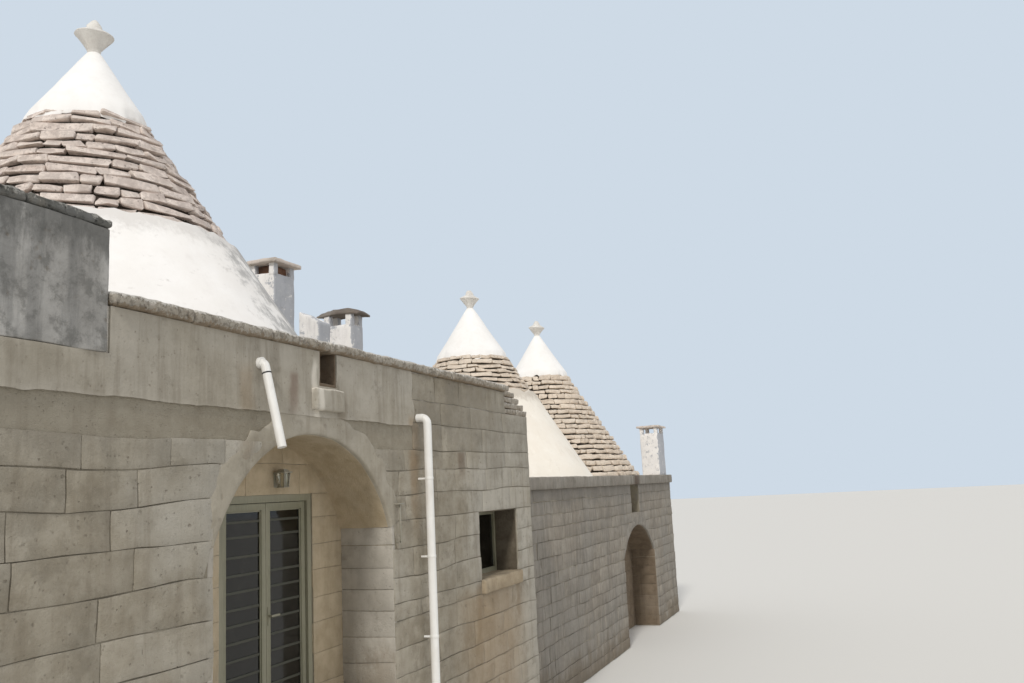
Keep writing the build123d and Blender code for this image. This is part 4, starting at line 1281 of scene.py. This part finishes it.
def shoulderSlabs():
    # the parapet ends in rough slabs, each set back on the one below
    look = dict(steps=5, over=0.05, single=0.4, joint=0.005, proud=0.012, bed=0.004, jitter=0.008,
                round=0.014, rough=0.012, grain=10.0)
    bm, tone, rng = stoneMesh(17)
    start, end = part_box("stepped_shoulder")
    rise = (end.z - start.z) / look["steps"]
    run = (end.x - start.x) / look["steps"]
    for step in range(look["steps"]):
        z = start.z + rise * step
        right = end.x - run * step + look["over"]
        middle = start.x + (right - start.x) * rng.uniform(0.4, 0.6)
        halves = ((start.x, middle), (middle, right))
        for a, b in halves if right - start.x > look["single"] else ((start.x, right),):
            near = start.y - look["proud"] + rng.uniform(0, look["proud"])
            layStone(bm, tone, rng, Vector((a + look["joint"], near, z + look["bed"])),
                     Vector((b - look["joint"], end.y, z + rise - 0.003)), Matrix.Identity(4), look["jitter"])
    finishStones(bm, look)
    addPiece("shoulder_slabs", bm, copingFinish, standsFor=["stepped_shoulder"])


shoulderSlabs()


def lining(name, left, right, foot, top, face, back, across, look, material):
    # plaster on both sides of an opening and on its head or floor, which runs between two heights
    bm = bmesh.new()
    sides = ((left - 0.004, left + look["thick"]), (right - look["thick"], right + 0.004))
    boxes = [(Vector((a, face, foot)), Vector((b, back, top))) for a, b in sides]
    boxes.append((Vector((left, face, across[0])), Vector((right, back, across[1]))))
    for start, end in boxes:
        plasterBox(bm, start, end, look["cell"], look["rough"], look["grain"], look["round"])
    addPiece(name, bm, material, sharpAngle=60)


revealLook = dict(thick=0.01, cell=0.06, rough=0.003, grain=9.0, round=0.003)
# the reveal plaster is dark: painted shade in the window recess
lining("window_reveal", windowLeft, windowRight, sillTop, windowTop, frontY + 0.01, low("window_casement").y,
       (windowTop - revealLook["thick"], windowTop + 0.004), revealLook, revealShadeFinish)
start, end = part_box("spout_stone")
plasterPiece("spout_block", start + Vector((0, -0.005, 0)), end + Vector((0, 0.04, 0)),
             dict(cell=0.05, rough=0.008, grain=6.0, round=0.02), renderFinish,
             ["spout_stone"])
slotLook = dict(thick=0.012, cell=0.05, rough=0.004, grain=9.0, round=0.004)
# the slot lining is dark brown: water stain deepened with painted shade
lining("slot_lining", slotLeft, slotRight, upperRoof, parapetTop, frontY - 0.012, high("front_parapet").y,
       (upperRoof - 0.02, upperRoof + slotLook["thick"]), slotLook, slotStainAndShadeFinish)
start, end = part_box("window_sill")
plasterPiece("sill_stone", start + Vector((-0.02, -0.005, 0)), end + Vector((0.02, 0, 0.004)),
             dict(cell=0.08, rough=0.007, grain=5.0, round=0.02), sillFinish, ["window_sill"])
print("roof edges done")

# Chimneys
start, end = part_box("rear_chimney")
flueInset = 0.085
plasterPiece("flue_liner", Vector((start.x + flueInset, start.y + flueInset, end.z - 0.3)),
             Vector((end.x - flueInset, end.y - flueInset, end.z - 0.012)),
             dict(cell=0.06, rough=0.003, grain=9.0, round=0.01), flueClay)
chimneyLooks = {
    "rear_chimney": dict(rough=0.016, over=(0.08, 0.08), rim=0.06, crown=0.03, droop=0.0, tone=0.95),
    "front_chimney": dict(rough=0.012, over=(0.02, 0.11), rim=0.035, crown=0.075, droop=0.03, tone=0.1),
    "end_chimney": dict(rough=0.010, over=(0.07, 0.07), rim=0.05, crown=0.03, droop=0.0, tone=1.0),
}


def chimneyShaft(name, look):
    # a plastered shaft with a post at each corner, open between them under the slab
    bm = bmesh.new()
    start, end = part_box(name)
    post = 0.1
    ventFoot = end.z - 0.15
    plasterBox(bm, start, Vector((end.x, end.y, ventFoot)), 0.07, look["rough"], 3.5, 0.018)
    for left in (start.x, end.x - post):
        for near in (start.y, end.y - post):
            top = Vector((left + post, near + post, end.z + 0.01))
            plasterBox(bm, Vector((left, near, ventFoot - 0.03)), top, 0.05, look["rough"] * 0.6, 6.0, 0.014)
    roughen(bm.verts, 0.004, 14.0)
    addPiece(name + "_plaster", bm, chimneyFinish, standsFor=[name], sharpAngle=60)


def chimneySlab(bm, tone, node, look):
    # a thin stone with a hipped crown and drooping corners
    part = bmesh.new()
    start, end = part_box(node)
    over = Vector((*look["over"], 0))
    foot = Vector((start.x, start.y, end.z)) - over
    top = Vector((end.x, end.y, end.z + look["rim"])) + over
    size = top - foot
    middle = (foot + top) / 2
    addCube(part, middle, size)
    long = [edge for edge in part.edges if edge.calc_length() > 0.2]
    bmesh.ops.subdivide_edges(part, edges=long, cuts=8, use_grid_fill=True)
    for vert in part.verts:
        shareX = abs(vert.co.x - middle.x) / size.x
        shareY = abs(vert.co.y - middle.y) / size.y
        if vert.co.z > middle.z:
            vert.co.z += look["crown"] * max(0.0, 1 - max(0, max(shareX, shareY) * 2 - 0.3) / 0.7)
        vert.co.z -= look["droop"] * (shareX * shareY * 4) ** 1.5
    roundEdges(part, 0.012, 2, sharpEdges(part))
    roughen(part.verts, 0.012, 6.0)
    roughen(part.verts, 0.004, 22.0)
    known = len(bm.faces)
    pour(part, bm)
    bm.faces.ensure_lookup_table()
    for face in bm.faces[known:]:
        face[tone] = look["tone"]


for node, look in chimneyLooks.items():
    chimneyShaft(node, look)
slabMesh = bmesh.new()
slabTone = slabMesh.faces.layers.float.new("tone")
for node, look in chimneyLooks.items():
    chimneySlab(slabMesh, slabTone, node, look)
addPiece("chimney_top_slabs", slabMesh, slabFinish, standsFor=["chimney_slabs"],
         sharpAngle=60)


def flueStub():
    # a small shaft whose top falls to the front
    bm = bmesh.new()
    start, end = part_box("flue_stub")
    plasterBox(bm, start, end, 0.06, 0.0, 4.0, 0.02)
    fall = 0.15
    for vert in bm.verts:
        share = (vert.co.z - start.z) / (end.z - start.z)
        vert.co.z -= fall * share * (end.y - vert.co.y) / (end.y - start.y)
    roughen(bm.verts, 0.012, 3.5)
    addPiece("flue_stub_plaster", bm, chimneyFinish, standsFor=["flue_stub"],
             sharpAngle=60)


flueStub()
print("chimneys done")


def addTube(bm, radius, depth, place):
    bmesh.ops.create_cone(bm, cap_ends=True, segments=32, radius1=radius, radius2=radius, depth=depth,
                          matrix=place)


def roundFitting(bm):
    roundEdges(bm, 0.003, 2, [edge for edge in bm.edges if edge.calc_face_angle() > 0.9])


def pipeFittings():
    # the seal of the rain pipe, and the clips that hold the downpipe
    look = dict(seal=0.0385, sealDepth=0.012, bend=0.045, clip=0.0465, clipDepth=0.03, pipe=0.043,
                heights=(0.55, 1.35, 2.15), bar=(0.024, 0.02))
    bm = bmesh.new()
    head = high("rain_pipe")
    start = Vector((head.x - look["bend"], frontY - 0.07, head.z - look["bend"]))
    end = Vector((head.x - look["bend"] - 0.03, frontY - 0.25, start.z - 0.68))
    turn = (end - start).normalized().to_track_quat("Z", "Y").to_matrix().to_4x4()
    addTube(bm, look["seal"], look["sealDepth"], Matrix.Translation(start.lerp(end, 0.13)) @ turn)
    roundFitting(bm)
    addPiece("rain_pipe_seals", bm, sealRubber)
    bm = bmesh.new()
    pipeX = middleX("downpipe")
    pipeY = low("downpipe").y + look["pipe"]
    for height in look["heights"]:
        z = upperFloor + height
        addTube(bm, look["clip"], look["clipDepth"], Matrix.Translation((pipeX, pipeY, z)))
        addCube(bm, (pipeX, (pipeY + frontY) / 2, z), (look["bar"][0], frontY - pipeY, look["bar"][1]))
    roundFitting(bm)
    addPiece("downpipe_clips", bm, pipePlastic)


pipeFittings()


def wallBracket():
    # a small shelf and rod on the wall just right of the arch
    bm = bmesh.new()
    x, y, z = archRight + 0.085, frontY, upperFloor
    boxes = (
        ((-0.05, -0.075, 1.9), (0.06, 0.01, 1.912)),  # shelf
        ((-0.008, -0.062, 1.52), (0.008, -0.046, 1.904)),  # rod
        ((-0.008, -0.06, 1.53), (0.008, 0.01, 1.546)),  # foot of the rod
    )
    for a, b in boxes:
        addBox(bm, Vector((x + a[0], y + a[1], z + a[2])), Vector((x + b[0], y + b[1], z + b[2])))
    roundEdges(bm, 0.002)
    addPiece("wall_bracket", bm, lanternPaint)


wallBracket()


def doorBars(side):
    # slim bars before the pane, painted dark as painted shade, and a bead round it
    look = dict(heights=(0.28, 0.42, 0.56, 0.7, 0.84, 0.98, 1.11, 1.25, 1.388, 1.538, 1.703, 1.83),
                thick=0.007, width=0.022, away=0.0045, bead=0.012, round=0.002)
    body = side + "_leaf"
    leaf = "door_leaf_" + side
    a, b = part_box("door_glass_" + side)
    bm = bmesh.new()
    for height in look["heights"]:
        addCube(bm, Vector(((a.x + b.x) / 2, a.y - look["away"], upperFloor + height)),
                Vector((b.x - a.x, look["thick"], look["width"])))
    roundEdges(bm, look["round"])
    addPiece(leaf + "_bars", bm, barShadePaint, body=body)
    bm = bmesh.new()
    bead = look["bead"]
    near = a.y - bead
    for left, right, foot, top in ((a.x, a.x + bead, a.z, b.z), (b.x - bead, b.x, a.z, b.z),
                                   (a.x, b.x, a.z, a.z + bead), (a.x, b.x, b.z - bead, b.z)):
        addBox(bm, Vector((left, near, foot)), Vector((right, a.y, top)))
    roundEdges(bm, look["round"])
    addPiece(leaf + "_bead", bm, joineryPaint, body=body)


doorBars("left")
doorBars("right")


def lanternPieces():
    # four corner bars between a foot and a stepped roof, a wall plate with its arm, and the panes inside
    look = dict(roof=0.037, headHalf=0.0475, footHalf=0.0375, bar=0.009, plate=0.008, gap=0.015, eave=0.014)
    start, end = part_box("lantern")
    middle = middleX("lantern")
    headHalf, footHalf = look["headHalf"], look["footHalf"]
    bodyTop = end.z - look["roof"]
    centreY = end.y - look["plate"] - look["gap"] - headHalf - look["eave"]
    bm = bmesh.new()
    for sideX in (-1, 1):
        for sideY in (-1, 1):
            for vert in bmesh.ops.create_cube(bm, size=look["bar"])["verts"]:
                upper = vert.co.z > 0
                half = (headHalf if upper else footHalf) - 0.004
                vert.co.z = bodyTop if upper else start.z
                vert.co.x += middle + sideX * half
                vert.co.y += centreY + sideY * half
    plates = ((start.z, 0.008, footHalf + 0.003), (bodyTop, 0.012, headHalf + look["eave"]),
              (bodyTop + 0.012, 0.012, headHalf - 0.008), (bodyTop + 0.024, 0.012, 0.03))
    for z, thick, half in plates:
        addCube(bm, (middle, centreY, z + thick / 2), (half * 2, half * 2, thick))
    addCube(bm, (middle, end.y - 0.004, (start.z + end.z) / 2 - 0.01), (0.06, look["plate"], 0.14))
    addCube(bm, (middle, (centreY + end.y) / 2, bodyTop + 0.006), (0.016, end.y - centreY, 0.012))
    roundEdges(bm, 0.0015)
    addPiece("lantern_frame", bm, lanternPaint, standsFor=["lantern"])
    bm = bmesh.new()
    for vert in bmesh.ops.create_cube(bm, size=1.0)["verts"]:
        upper = vert.co.z > 0
        half = (headHalf if upper else footHalf) - 0.005
        vert.co = Vector((middle + math.copysign(half, vert.co.x), centreY + math.copysign(half, vert.co.y),
                          bodyTop - 0.001 if upper else start.z + 0.009))
    roundEdges(bm, 0.002)
    addPiece("lantern_panes", bm, lanternGlass)


lanternPieces()
print("joinery, pipes and lantern done")

# Flat stones that pave the two roof decks round the cones
pavingLook = dict(
    height=0.42, length=(0.42, 0.62), joint=0.014, proud=0.008, uneven=0.002, depth=0.03, jitter=0.006,
    round=0.005, rough=0.004, grain=7.0, segments=1)
flat = Matrix.Rotation(-math.pi / 2, 4, "X")
stonework("roof_paving", 53, pavingLook, [
    (Matrix.Translation((0, 0, upperRoof)) @ flat, upperLeft + 0.02, upperRight - 0.02,
     [frontY + 0.34, backY - 0.34]),
    (Matrix.Translation((0, 0, lowerRoof)) @ flat, upperRight + 0.02, lowerRight - 0.02,
     [lowerY - 0.04, lowerBackY + 0.04])], pavingFinish)


# Stage, lights and camera
def linked(name, data):
    holder = bpy.data.objects.new(name, data)
    bpy.context.scene.collection.objects.link(holder)
    return holder


def stageFloor():
    look = dict(size=160.0, height=-0.004, colour=(222, 220, 215), roughness=0.9)
    bm = bmesh.new()
    bmesh.ops.create_grid(bm, x_segments=1, y_segments=1, size=look["size"])
    mesh = bpy.data.meshes.new("floor")
    bm.to_mesh(mesh)
    bm.free()
    floor = linked("floor", mesh)
    floor.location.z = look["height"]
    material, tree, shader = newMaterial("floorFinish")
    feed(tree, colour(*look["colour"]), shader.inputs["Base Color"])
    feed(tree, look["roughness"], shader.inputs["Roughness"])
    mesh.materials.append(material)


def studioWorld():
    # soft even light, and a pale sky that only the camera, metal and glass see
    look = dict(ambient=(0.98, 0.985, 1.0), strength=0.62, sky=(206, 218, 230))
    world = bpy.data.worlds.new("studio")
    bpy.context.scene.world = world
    world.use_nodes = True
    tree = world.node_tree
    tree.nodes.clear()
    out = tree.nodes.new("ShaderNodeOutputWorld")
    mix = tree.nodes.new("ShaderNodeMixShader")
    shades = ((1, look["ambient"], look["strength"]), (2, colour(*look["sky"]), 1.0))
    for place, shade, strength in shades:
        node = tree.nodes.new("ShaderNodeBackground")
        feed(tree, shade, node.inputs["Color"])
        feed(tree, strength, node.inputs["Strength"])
        feed(tree, node.outputs[0], mix.inputs[place])
    path = tree.nodes.new("ShaderNodeLightPath").outputs
    both = plus(tree, path["Is Camera Ray"], path["Is Glossy Ray"])
    feed(tree, mathNode(tree, "ADD", both, path["Is Transmission Ray"], clamp=True), mix.inputs["Fac"])
    feed(tree, mix.outputs[0], out.inputs["Surface"])


def sunLamp(name, look):
    lamp = bpy.data.lights.new(name, "SUN")
    lamp.energy = look["strength"]
    lamp.angle = math.radians(look["angle"])
    lamp.color = look["tint"]
    linked(name, lamp).rotation_euler = Vector(look["origin"]).to_track_quat("Z", "Y").to_euler()


def photoCamera():
    # the photograph's viewpoint, looking up along the fronts
    look = dict(eye=(-13.9, -7.293, 3.5), heading=20.78, pitch=9.27, roll=-2.86, lens=31.64, sensor=36.0,
                clipEnd=500.0)
    data = bpy.data.cameras.new("photoCamera")
    data.lens = look["lens"]
    data.sensor_width = look["sensor"]
    data.clip_end = look["clipEnd"]
    camera = linked("photoCamera", data)
    turn = Matrix.Rotation(math.radians(look["heading"] - 90), 4, "Z")
    turn = turn @ Matrix.Rotation(math.radians(90 + look["pitch"]), 4, "X")
    turn = turn @ Matrix.Rotation(math.radians(look["roll"]), 4, "Z")
    camera.matrix_world = Matrix.Translation(look["eye"]) @ turn
    bpy.context.scene.camera = camera


stageFloor()
studioWorld()
sunLamp("keyLight", dict(origin=(-1.0, -0.16, 0.78), strength=1.65, angle=7, tint=(1.0, 0.97, 0.92)))
sunLamp("fillLight", dict(origin=(0.2, -1.0, 0.6), strength=0.25, angle=60, tint=(0.98, 0.985, 1.0)))
photoCamera()
bpy.context.scene.view_settings.view_transform = "Standard"
